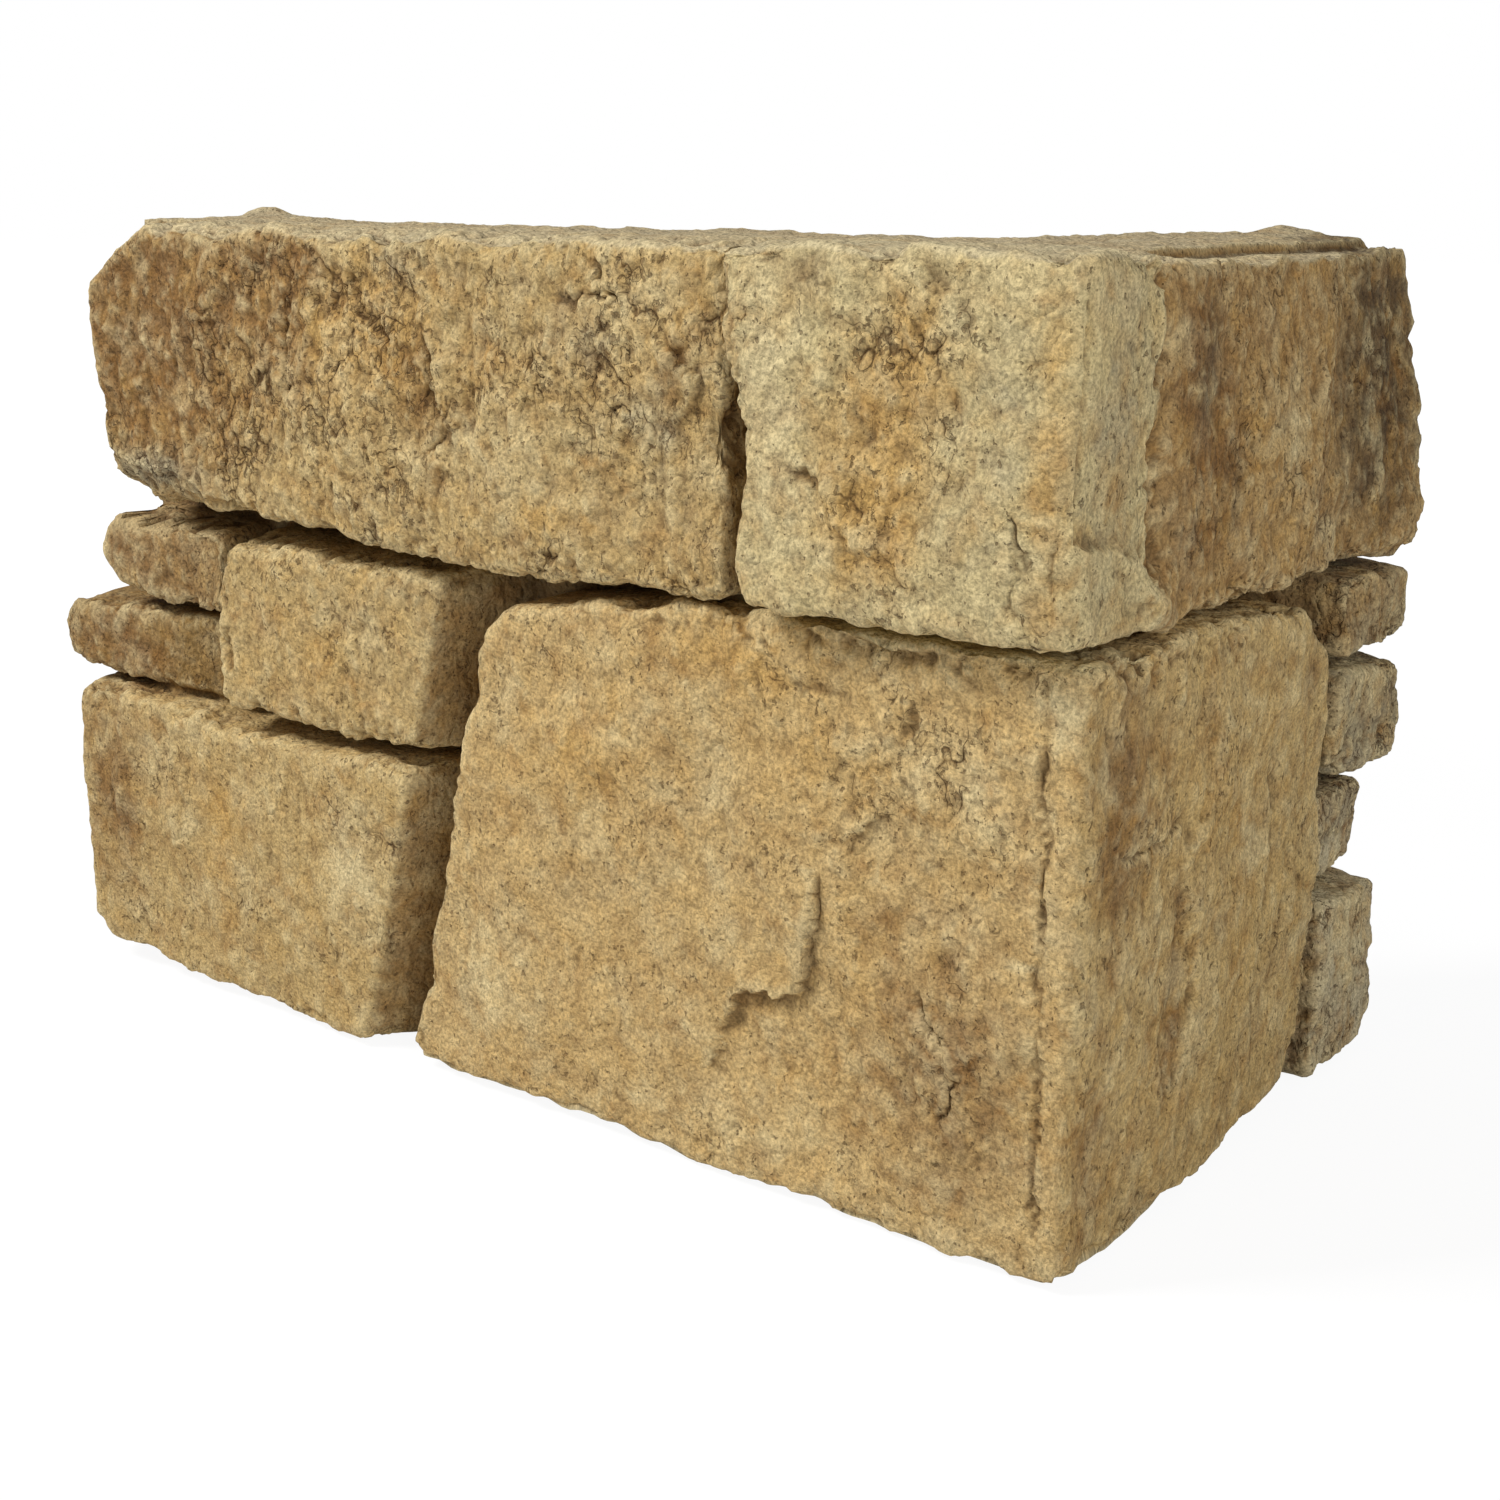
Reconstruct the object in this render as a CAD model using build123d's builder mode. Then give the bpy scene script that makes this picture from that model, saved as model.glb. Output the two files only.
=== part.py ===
import os
from math import radians, tan

from build123d import *

# Overall sizes, in millimetres
height = 203.2
long_leg = 318.0
short_leg = 167.0
backing = 32.0
backing_setback_x = 18.0
backing_setback_y = 1.0

# Courses and lengths of the stones
top_course = 72.0
bed_joint = 4.0
top_end_setback = 30.0
top_corner_length = 78.0
top_corner_return = 30.0
end_length = 68.0
end_top_height = 22.0
middle_length = 95.0
middle_height = 45.0
slant = 33.0
return_end_length = 42.0
return_heights = (19.0, 26.0, 23.0)
joint = 4.0

# How far each stone stands out from the wall
top_left_out = 60.0
top_corner_front_out = 65.0
top_corner_side_out = 59.5
top_right_outs = (58.5, 57.5, 67.0, 56.0)
end_top_out = 51.0
end_low_out = 56.0
middle_out = 56.0
low_left_out = 56.5
low_corner_front_out = 57.0
low_corner_side_out = 60.0
return_outs = (61.0, 60.5, 56.5, 60.5)

# Shape of the stones' edges
draft = 5.0
root = 6.0
corner_radius = 4.0
edge_radius = 2.5
arris_radius = 4.0
side_lean = 24.0
side_spread = 12.0

# Rebate along the top of the short leg
rebate_depth = 3.0
rebate_width = 14.0
rebate_setback = 13.0

# Lines that the stones are set out from
seat = backing - root
bed = height - top_course
far_x = low_corner_side_out - long_leg
far_y = short_leg - low_corner_front_out
backing_far_x = far_x + backing_setback_x
backing_far_y = far_y - backing_setback_y
top_joint_x = top_corner_side_out - top_corner_length
top_joint_y = top_corner_return - top_corner_front_out
end_x = far_x + end_length
slant_top_x = end_x + middle_length
slant_foot_x = slant_top_x - slant
return_y = far_y - return_end_length
low_top = bed - bed_joint
middle_foot = low_top - middle_height
rebate_start_y = top_joint_y + rebate_setback
past_corner = 40.0


def slant_x(level):
    """Place of the leaning joint beside the low corner stone, at a level."""
    return slant_foot_x + (slant_top_x - slant_foot_x) * level / bed


def block_of(outline, stand_out, depth):
    """A stone lying face up: outline of its face, drafted down to a depth below it."""
    with BuildPart() as block:
        with BuildSketch(Plane.XY.offset(stand_out - depth)) as base:
            with BuildLine():
                Polyline(*outline, close=True)
            make_face()
            fillet(base.vertices(), corner_radius)
            offset(amount=depth * tan(radians(draft)), kind=Kind.INTERSECTION)
        extrude(amount=depth, taper=draft)
    return block.part


def stone(outline, stand_out, lean=(0.0, 0.0), bevel=None):
    """A stone lying face up, with its face leaning and its edges worn round."""
    centre_u = sum(u for u, v in outline) / len(outline)
    centre_v = sum(v for u, v in outline) / len(outline)
    reach_u = max(abs(u - centre_u) for u, v in outline)
    reach_v = max(abs(v - centre_v) for u, v in outline)
    drop = reach_u * abs(lean[0]) + reach_v * abs(lean[1])
    face = Plane(
        origin=(centre_u, centre_v, stand_out - drop),
        z_dir=(lean[0], lean[1], 1.0),
    )
    blank = block_of(outline, stand_out, stand_out - seat)
    with BuildPart() as block:
        add(blank)
        split(bisect_by=face, keep=Keep.BOTTOM)
        if bevel:
            foot, head = bevel
            rise = Vector(*head) - Vector(*foot)
            out = rise.cross(Vector(0.0, 0.0, 1.0)).normalized()
            slope = Plane(
                origin=(foot[0], foot[1], stand_out),
                x_dir=rise,
                z_dir=out + Vector(0.0, 0.0, tan(radians(side_lean))),
            )
            split(bisect_by=slope, keep=Keep.BOTTOM)
            sloped = block.faces().sort_by(Axis.X)[-1]
            fillet(sloped.edges().sort_by(Axis.Z)[1:-1], corner_radius)
        fillet(block.faces().sort_by(Axis.Z)[-1].edges(), edge_radius)
    return block.part


def winding_stone(outline, outs):
    """A stone lying face up, whose face winds from one lean at its near end to another at its far end."""
    near_foot, near_head, far_foot, far_head = outs
    highest = max(outs) + root
    near = min(u for u, v in outline) - root
    far = max(u for u, v in outline) + root
    foot = min(v for u, v in outline) - root
    head = max(v for u, v in outline) + root
    blank = block_of(outline, highest, highest - seat)
    with BuildPart() as wedge:
        with BuildSketch(Plane.YZ.offset(near)):
            with BuildLine():
                Polyline((foot, 0.0), (head, 0.0), (head, near_head), (foot, near_foot), close=True)
            make_face()
        with BuildSketch(Plane.YZ.offset(far)):
            with BuildLine():
                Polyline((foot, 0.0), (head, 0.0), (head, far_head), (foot, far_foot), close=True)
            make_face()
        loft(ruled=True)
    with BuildPart() as block:
        add(blank)
        add(wedge.part, mode=Mode.INTERSECT)
        fillet(block.faces().sort_by(Axis.Z)[-1].edges(), edge_radius)
    return block.part


def corner_stone(front_outline, side_outline, front_out, side_out):
    """A stone that wraps round the corner, cut to an outline on each of its two faces."""
    front_end = min(u for u, v in front_outline) - root
    side_end = max(u for u, v in side_outline) + root
    with BuildPart() as block:
        with BuildSketch(Plane.XY.offset(-root)) as plan:
            with BuildLine():
                Polyline(
                    (front_end, -front_out),
                    (side_out, -front_out),
                    (side_out, side_end),
                    (seat, side_end),
                    (seat, -seat),
                    (front_end, -seat),
                    close=True,
                )
            make_face()
            fillet(plan.vertices().sort_by(lambda v: v.Y - v.X)[0], arris_radius)
        extrude(amount=height + 2.0 * root)
        with BuildSketch(Plane.XZ.offset(-side_end - root)):
            with BuildLine():
                Polyline(*front_outline, close=True)
            make_face()
        extrude(amount=side_end + front_out + 2.0 * root, mode=Mode.INTERSECT)
        with BuildSketch(Plane.YZ.offset(front_end - root)):
            with BuildLine():
                Polyline(*side_outline, close=True)
            make_face()
        extrude(amount=side_out - front_end + 2.0 * root, mode=Mode.INTERSECT)
        from_front = block.edges().filter_by(Axis.Y).filter_by(
            lambda e: e.bounding_box().min.Y < -front_out + 0.01
        )
        from_side = block.edges().filter_by(Axis.X).filter_by(
            lambda e: e.bounding_box().max.X > side_out - 0.01
        )
        fillet(from_front + from_side, corner_radius)
        front_rim = block.faces().sort_by(Axis.Y)[0].edges().sort_by(Axis.X)[:-1]
        side_rim = block.faces().sort_by(Axis.X)[-1].edges().sort_by(Axis.Y)[1:]
        fillet(front_rim + side_rim, edge_radius)
    return block.part


# Top course, long leg: one long stone with its upper far corner knocked off
top_far_x = far_x + top_end_setback
top_left = stone(
    [
        (top_far_x, bed + 7.0),
        (top_far_x + 10.0, bed + 2.0),
        (top_far_x + 60.0, bed + 3.0),
        (top_joint_x - 70.0, bed - 1.5),
        (top_joint_x - joint, bed + 1.0),
        (top_joint_x - joint, height - 1.0),
        (top_far_x + 23.0, height - 1.0),
        (top_far_x, height - 14.0),
    ],
    top_left_out,
)

# Top course, the stone that wraps round the corner
top_corner_foot = bed + 1.0
top_corner = corner_stone(
    [
        (top_joint_x, top_corner_foot),
        (top_corner_side_out + past_corner, top_corner_foot),
        (top_corner_side_out + past_corner, height),
        (top_joint_x - 4.0, height),
        (top_joint_x + 3.0, bed + 28.0),
    ],
    [
        (-top_corner_front_out - past_corner, top_corner_foot),
        (top_joint_y + 8.0, top_corner_foot),
        (top_joint_y + 8.0, bed + 11.0),
        (top_joint_y, bed + 22.0),
        (top_joint_y, height),
        (-top_corner_front_out - past_corner, height),
    ],
    top_corner_front_out,
    top_corner_side_out,
)

# Top course, short leg: plumb beside the corner, leaning out at the foot of its far end
top_right = winding_stone(
    [
        (top_joint_y - root, bed + 2.0),
        (far_y - 12.0, bed + 1.0),
        (far_y - 4.0, bed + 8.0),
        (far_y - 5.0, height - 20.0),
        (far_y - 12.0, height - 3.0),
        (top_joint_y - root, height - 3.0),
    ],
    top_right_outs,
)

# Two small stones at the far end of the long leg
end_top_foot = low_top - end_top_height
end_top = stone(
    [
        (far_x + 15.0, low_top - 9.0),
        (far_x + 21.0, end_top_foot + 4.0),
        (far_x + 34.0, end_top_foot),
        (end_x - joint, end_top_foot),
        (end_x - joint, low_top - 2.0),
        (far_x + 24.0, low_top),
    ],
    end_top_out,
)
end_low_top = end_top_foot - joint
end_low = stone(
    [
        (far_x, middle_foot + 5.0),
        (far_x + 6.0, middle_foot + 1.0),
        (end_x - joint, middle_foot - 1.0),
        (end_x - joint, end_low_top),
        (far_x + 4.0, end_low_top),
        (far_x, end_low_top - 4.0),
    ],
    end_low_out,
    lean=(0.12, 0.0),
)

# Middle stone of the long leg, beside the leaning joint
middle = stone(
    [
        (end_x, middle_foot + 3.0),
        (end_x + 5.0, middle_foot),
        (slant_x(middle_foot) + past_corner, middle_foot),
        (slant_x(low_top) + past_corner, low_top - 1.0),
        (end_x + 4.0, low_top - 2.0),
        (end_x, low_top - 8.0),
    ],
    middle_out,
    bevel=(
        (slant_x(middle_foot) - side_spread, middle_foot),
        (slant_x(low_top) - side_spread, low_top),
    ),
)

# Low stone at the far end of the long leg
low_left_top = middle_foot - joint
low_left = stone(
    [
        (far_x + 7.0, 12.0),
        (far_x + 14.0, 6.0),
        (far_x + 58.0, 3.0),
        (slant_x(0.0) + past_corner, 1.0),
        (slant_x(low_left_top) + past_corner, low_left_top - 1.0),
        (far_x + 66.0, low_left_top - 3.0),
        (far_x + 56.0, low_left_top),
        (far_x + 6.0, low_left_top + 1.0),
    ],
    low_left_out,
    bevel=(
        (slant_x(0.0) - side_spread, 0.0),
        (slant_x(low_left_top) - side_spread, low_left_top),
    ),
)

# Big low stone that wraps round the corner
low_corner_foot = 1.0
low_corner_head = low_top + 2.0
low_corner = corner_stone(
    [
        (slant_x(0.0) + joint, low_corner_foot),
        (low_corner_side_out + past_corner, low_corner_foot),
        (low_corner_side_out + past_corner, low_corner_head),
        (slant_x(low_top) + 60.0, low_corner_head),
        (slant_x(low_top) + 10.0, low_top - 5.0),
        (slant_x(low_top - 12.0) + joint, low_top - 12.0),
    ],
    [
        (-low_corner_front_out - past_corner, low_corner_foot),
        (-seat + 14.0, low_corner_foot),
        (return_y - 16.0, 7.0),
        (return_y - 7.0, 15.0),
        (return_y - 2.0, 61.0),
        (return_y - 5.0, low_top - 17.0),
        (return_y - 24.0, low_top - 2.0),
        (-seat + 19.0, low_corner_head),
        (-low_corner_front_out - past_corner, low_corner_head),
    ],
    low_corner_front_out,
    low_corner_side_out,
)

# Four small stones stacked at the far end of the short leg
return_tops = [
    low_top,
    low_top - return_heights[0] - joint,
    low_top - return_heights[0] - return_heights[1] - 2.0 * joint,
    low_top - sum(return_heights) - 3.0 * joint,
]
return_feet = [top - size for top, size in zip(return_tops, return_heights)] + [2.0]
return_ends = (far_y - 1.0, far_y, far_y - 8.0, far_y - 2.0)
return_stones = [
    stone(
        [
            (return_y, foot + 1.0),
            (end - 4.0, foot),
            (end, foot + 5.0),
            (end - 1.0, top - 2.0),
            (return_y + 2.0, top),
        ],
        out,
    )
    for foot, top, end, out in zip(return_feet, return_tops, return_ends, return_outs)
]

# The casting: backing and stones in one piece, struck flat at top and bed
os.makedirs("parts", exist_ok=True)

with BuildPart() as veneer_corner:
    with BuildSketch(Plane.XY):
        with BuildLine():
            Polyline(
                (backing_far_x, 0.0),
                (backing_far_x, -backing),
                (backing, -backing),
                (backing, backing_far_y),
                (0.0, backing_far_y),
                (0.0, 0.0),
                close=True,
            )
        make_face()
    extrude(amount=height)
    for piece in (top_left, end_top, end_low, middle, low_left):
        add(piece.moved(Plane.XZ.location))
    for piece in (top_right, *return_stones):
        add(piece.moved(Plane.YZ.location))
    add(top_corner)
    add(low_corner)
    split(bisect_by=Plane.XY.offset(height), keep=Keep.BOTTOM)
    split(bisect_by=Plane.XY, keep=Keep.TOP)
    split(bisect_by=Plane.YZ.offset(far_x), keep=Keep.TOP)
    split(bisect_by=Plane.XZ.offset(-far_y), keep=Keep.TOP)
    with BuildSketch(Plane.XY.offset(height)):
        with BuildLine():
            Polyline(
                (top_corner_side_out - rebate_width, rebate_start_y),
                (top_corner_side_out + rebate_width, rebate_start_y),
                (top_corner_side_out + rebate_width, far_y),
                (top_corner_side_out - rebate_width, far_y),
                close=True,
            )
        make_face()
    extrude(amount=-rebate_depth, mode=Mode.SUBTRACT)

veneer_corner.part.label = "veneer_corner"
export_step(veneer_corner.part, "parts/veneer_corner.step")
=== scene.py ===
"""A cast stone veneer corner: broken relief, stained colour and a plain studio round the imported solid.

Points on the two dressed faces are in millimetres: (x, z) on the front face and (y, z) on the side face.
"""
import logging
import math
from collections.abc import Callable
from dataclasses import dataclass
from enum import Enum
from typing import NamedTuple

import bmesh
import bpy
import numpy as np
from mathutils import Matrix, Vector


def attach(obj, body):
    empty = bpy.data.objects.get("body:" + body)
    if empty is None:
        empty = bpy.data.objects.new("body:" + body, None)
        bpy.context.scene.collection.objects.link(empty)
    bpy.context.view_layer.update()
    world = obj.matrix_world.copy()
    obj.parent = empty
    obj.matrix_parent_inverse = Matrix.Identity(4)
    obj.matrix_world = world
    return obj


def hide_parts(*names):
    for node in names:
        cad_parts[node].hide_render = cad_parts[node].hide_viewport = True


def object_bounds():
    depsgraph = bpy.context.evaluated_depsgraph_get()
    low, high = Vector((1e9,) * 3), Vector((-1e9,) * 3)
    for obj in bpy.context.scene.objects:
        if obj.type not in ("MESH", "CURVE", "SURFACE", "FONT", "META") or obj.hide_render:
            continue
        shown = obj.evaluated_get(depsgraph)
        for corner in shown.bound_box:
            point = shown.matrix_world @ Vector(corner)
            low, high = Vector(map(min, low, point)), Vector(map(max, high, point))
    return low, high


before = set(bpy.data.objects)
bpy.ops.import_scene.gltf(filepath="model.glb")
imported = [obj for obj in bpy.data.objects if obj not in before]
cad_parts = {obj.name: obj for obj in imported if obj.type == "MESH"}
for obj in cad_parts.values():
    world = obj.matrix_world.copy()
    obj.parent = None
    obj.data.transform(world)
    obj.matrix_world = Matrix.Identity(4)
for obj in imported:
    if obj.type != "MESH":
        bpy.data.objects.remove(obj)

CAD_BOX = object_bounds()
NODE = "veneer_corner"
MM = 0.001
WELD_GAP = 0.01 * MM
MOST_STAIN = 1.2
TAPER_SHARE = 0.22
CLOUD_FALL = 1.2

Point = tuple[float, float]
Path = tuple[Point, ...]
Colour = tuple[float, float, float]

log = logging.getLogger("veneer_corner")


def smooth(low: float, high: float, value: np.ndarray) -> np.ndarray:
    """Ease from 0 to 1 as a value passes from low to high."""
    t = np.clip((value - low) / (high - low), 0.0, 1.0)
    return t * t * (3.0 - 2.0 * t)


def linear(red: int, green: int, blue: int) -> Colour:
    """Turn a display colour of 0 to 255 into scene-linear values.

    Args:
        red: Red of 0 to 255.
        green: Green of 0 to 255.
        blue: Blue of 0 to 255.

    Returns:
        The colour in linear light.
    """
    def channel(level: int) -> float:
        """Linear light of one channel."""
        c = level / 255.0
        return c / 12.92 if c <= 0.04045 else ((c + 0.055) / 1.055) ** 2.4

    return channel(red), channel(green), channel(blue)


def ripple(u: np.ndarray, v: np.ndarray, size: float, seed: int) -> np.ndarray:
    """Uneven waves over a face.

    Args:
        u: Places across the face.
        v: Heights on the face.
        size: Length of the waves in millimetres.
        seed: Which waves they are.

    Returns:
        Values around 0, seldom past 2 either way.
    """
    waves = np.random.default_rng(seed).uniform(0.0, 1.0, (9, 3))
    total = np.zeros(u.shape)
    for turn, shift, stretch in waves:
        angle = 2.0 * math.pi * turn
        along = (u * math.cos(angle) + v * math.sin(angle)) / (size * (0.7 + 0.7 * stretch))
        total += np.sin(2.0 * math.pi * (along + shift))
    return total * math.sqrt(2.0 / len(waves))


@dataclass(frozen=True)
class Wave:
    """Uneven waves over a face: their length in millimetres, their strength and which ones they are."""

    size: float
    sway: float
    seed: int

    def over(self, u: np.ndarray, v: np.ndarray, later: int = 0) -> np.ndarray:
        """Height of the waves at points of a face."""
        return self.sway * ripple(u, v, self.size, self.seed + later)


WAVER = (Wave(15.0, 0.6, 1), Wave(6.0, 0.4, 3), Wave(2.4, 0.25, 5))
UNEVEN = Wave(17.0, 0.25, 7)
OUTLINE = Wave(24.0, 1.0, 30)
OUTLINE_FINE = Wave(8.0, 0.25, 60)
FOOT = Wave(40.0, 0.9, 91)
FOOT_FINE = Wave(11.0, 0.4, 92)


class Face(Enum):
    """The two dressed faces of the corner."""

    FRONT = "front"
    SIDE = "side"

    @property
    def across(self) -> int:
        """Axis that runs along the face."""
        return 0 if self is Face.FRONT else 1

    def standing(self, points: np.ndarray) -> np.ndarray:
        """How far points stand out from the wall, in millimetres."""
        return -points[:, 1] if self is Face.FRONT else points[:, 0]

    @property
    def arris(self) -> float:
        """Place of the corner's arris along the face."""
        return 62.0 if self is Face.FRONT else -60.0

    @property
    def outward(self) -> np.ndarray:
        """Direction that the face looks in."""
        return np.array((0.0, -1.0, 0.0)) if self is Face.FRONT else np.array((1.0, 0.0, 0.0))


class Pigment(Enum):
    """Stains in the casting, one of them partly painted shade, each kept as an attribute of the mesh."""

    OCHRE = "ochre"
    BROWN = "brown"
    GREY = "grey"
    PALE = "pale"
    # Dark umber stain that is partly painted shade, on the far end of the top right stone.
    UMBER_AND_SHADE = "soot"
    COARSE = "coarse"


class Mask(Enum):
    """Strengths of the relief and of the mottling, each kept as an attribute of the mesh."""

    DRESSED = "dressed"
    CRAG = "crag"
    GRAIN = "grain"
    RIM = "rim"
    WEATHERED = "weathered"


class Tone(Enum):
    """Ground colours of the stones."""

    BUFF = linear(194, 164, 110)
    CREAM = linear(195, 177, 129)
    SAND = linear(188, 160, 106)
    TAN = linear(181, 154, 102)
    UMBER = linear(157, 125, 78)
    LOAM = linear(143, 115, 73)
    HUMUS = linear(132, 104, 58)
    DRAB = linear(147, 126, 91)
    ASH = linear(150, 137, 108)
    CEMENT = linear(160, 147, 118)
    LIME = linear(186, 173, 141)
    # Colour of the bare joints, also used as painted shade on the stones' flanks.
    JOINT_AND_FLANK_SHADE = linear(122, 95, 58)


def along_path(path: Path, u: np.ndarray, v: np.ndarray) -> tuple[np.ndarray, np.ndarray]:
    """Measure points against a path.

    Args:
        path: Corners of the path.
        u: Places across the face.
        v: Heights on the face.

    Returns:
        Signed distance, positive on the left of the path, and a taper that is 0 at both ends and 1 between.
    """
    best = np.full(u.shape, 1e9)
    signed = np.zeros(u.shape)
    place = np.zeros(u.shape)
    run = 0.0
    for (u0, v0), (u1, v1) in zip(path[:-1], path[1:]):
        du, dv = u1 - u0, v1 - v0
        length = math.hypot(du, dv)
        t = np.clip(((u - u0) * du + (v - v0) * dv) / length**2, 0.0, 1.0)
        gap = np.hypot(u - u0 - t * du, v - v0 - t * dv)
        left = np.sign(du * (v - v0) - dv * (u - u0))
        near = gap < best
        best[near] = gap[near]
        signed[near] = (left * gap)[near]
        place[near] = (run + t * length)[near]
        run += length
    ends = TAPER_SHARE * run
    taper = smooth(0.0, ends, place) * smooth(0.0, ends, run - place)
    return signed, taper


@dataclass(frozen=True)
class Flake:
    """A thin plate left standing on the left of a broken edge."""

    face: Face
    edge: Path
    rise: float
    fade: float = 18.0
    width: float = 1.6

    def height(self, u: np.ndarray, v: np.ndarray) -> np.ndarray:
        """Height that the flake adds at points of its face.

        Args:
            u: Places across the face.
            v: Heights on the face.

        Returns:
            Heights in millimetres.
        """
        signed, taper = along_path(self.edge, u, v)
        step = smooth(-self.width / 2.0, self.width / 2.0, signed)
        above = step * np.exp(-np.maximum(signed, 0.0) / self.fade)
        below = (1.0 - step) * np.exp(-np.maximum(-signed, 0.0) / (0.4 * self.fade))
        return self.rise * taper * (0.6 * above - 0.4 * below)


@dataclass(frozen=True)
class Crease:
    """A crack or seam sunk along a path."""

    face: Face
    path: Path
    depth: float
    width: float = 1.4

    def height(self, u: np.ndarray, v: np.ndarray) -> np.ndarray:
        """Height that the crease adds at points of its face."""
        signed, taper = along_path(self.path, u, v)
        return -self.depth * taper * np.exp(-((signed / self.width) ** 2))


@dataclass(frozen=True)
class Swell:
    """A rounded rise, or a hollow where its height is below 0."""

    face: Face
    centre: Point
    radii: Point
    rise: float
    turn: float = 0.0

    def height(self, u: np.ndarray, v: np.ndarray) -> np.ndarray:
        """Height that the swell adds at points of its face."""
        return self.rise * spread(self.centre, self.radii, self.turn, u, v)


@dataclass(frozen=True)
class Facet:
    """A plane that falls away on the right of a line across a stone."""

    face: Face
    line: tuple[Point, Point]
    fall: float
    reach: float
    over: tuple[Point, Point]

    def height(self, u: np.ndarray, v: np.ndarray) -> np.ndarray:
        """Height that the facet adds at points of its face.

        Args:
            u: Places across the face.
            v: Heights on the face.

        Returns:
            Heights in millimetres.
        """
        (u0, v0), (u1, v1) = self.line
        length = math.hypot(u1 - u0, v1 - v0)
        right = ((u - u0) * (v1 - v0) - (v - v0) * (u1 - u0)) / length
        beyond = np.clip(right, 0.0, self.reach)
        (low_u, low_v), (high_u, high_v) = self.over
        inside = (u > low_u) & (u < high_u) & (v > low_v) & (v < high_v)
        return self.fall * beyond / self.reach * inside


@dataclass(frozen=True)
class Patch:
    """A cloud of one stain on a face."""

    face: Face
    pigment: Pigment
    centre: Point
    radii: Point
    amount: float = 1.0
    turn: float = 0.0

    def weight(self, u: np.ndarray, v: np.ndarray) -> np.ndarray:
        """Amount of stain at points of its face."""
        return self.amount * spread(self.centre, self.radii, self.turn, u, v)


def spread(centre: Point, radii: Point, turn: float, u: np.ndarray, v: np.ndarray) -> np.ndarray:
    """A soft oval cloud.

    Args:
        centre: Middle of the oval.
        radii: Half its two lengths.
        turn: Angle of its first length, in degrees.
        u: Places across the face.
        v: Heights on the face.

    Returns:
        1 in the middle, fading past the oval's edge.
    """
    angle = math.radians(turn)
    du, dv = u - centre[0], v - centre[1]
    first = (du * math.cos(angle) + dv * math.sin(angle)) / radii[0]
    second = (dv * math.cos(angle) - du * math.sin(angle)) / radii[1]
    return np.exp(-CLOUD_FALL * (first**2 + second**2))


@dataclass(frozen=True)
class Stone:
    """One moulded stone: its outline on a face, how it is broken and its ground colour."""

    name: str
    face: Face
    outline: Path
    stand_out: float
    tone: Tone
    rough: float
    grain: float

    def outside(self, u: np.ndarray, v: np.ndarray) -> np.ndarray:
        """Distance past the stone's outline, below 0 inside it.

        Args:
            u: Places across the face.
            v: Heights on the face.

        Returns:
            Distances in millimetres.
        """
        worst = np.full(u.shape, -1e9)
        for (u0, v0), (u1, v1) in zip(self.outline, self.outline[1:] + self.outline[:1]):
            length = math.hypot(u1 - u0, v1 - v0)
            past = ((u - u0) * (v1 - v0) - (v - v0) * (u1 - u0)) / length
            worst = np.maximum(worst, past)
        return worst


STONES: tuple[Stone, ...] = (
    Stone("top_left", Face.FRONT, ((-229, 133), (-22, 132), (-22, 204), (-229, 204)),
          60, Tone.TAN, 0.6, 0.9),
    Stone("top_corner", Face.FRONT, ((-18, 129), (64, 129), (64, 204), (-18, 204)),
          65, Tone.CREAM, 0.35, 0.7),
    Stone("end_top", Face.FRONT, ((-258, 106), (-192, 106), (-192, 128), (-258, 128)),
          51, Tone.LOAM, 0.5, 0.7),
    Stone("end_low", Face.FRONT, ((-262, 81), (-192, 81), (-192, 104), (-262, 104)),
          56, Tone.HUMUS, 0.4, 0.6),
    Stone("middle", Face.FRONT, ((-188, 83), (-107, 83), (-97, 127), (-188, 127)),
          56, Tone.TAN, 0.4, 0.6),
    Stone("low_left", Face.FRONT, ((-258, 1), (-130, 1), (-110, 79), (-258, 79)),
          56.5, Tone.TAN, 0.4, 0.6),
    Stone("low_corner", Face.FRONT, ((-125, 0), (62, 0), (62, 127), (-93, 127)),
          57, Tone.BUFF, 0.25, 0.6),
    Stone("top_corner_side", Face.SIDE, ((-67, 129), (-36, 129), (-36, 204), (-67, 204)),
          59.5, Tone.CREAM, 0.3, 0.5),
    Stone("top_right", Face.SIDE, ((-34, 133), (107, 133), (107, 201), (-34, 201)),
          63, Tone.UMBER, 0.45, 0.8),
    Stone("low_corner_side", Face.SIDE, ((-59, 0), (58, 0), (66, 61), (66, 127), (-59, 127)),
          60, Tone.SAND, 0.3, 0.7),
    Stone("return_a", Face.SIDE, ((69, 112), (110, 112), (110, 130), (69, 130)),
          61, Tone.DRAB, 0.6, 0.6),
    Stone("return_b", Face.SIDE, ((69, 86), (110, 86), (110, 109), (69, 109)),
          60, Tone.ASH, 0.6, 0.6),
    Stone("return_c", Face.SIDE, ((69, 62), (110, 62), (110, 83), (69, 83)),
          56, Tone.CEMENT, 0.8, 0.7),
    Stone("return_d", Face.SIDE, ((69, 2), (110, 2), (110, 59), (69, 59)),
          60, Tone.LIME, 0.6, 0.7),
)

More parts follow.
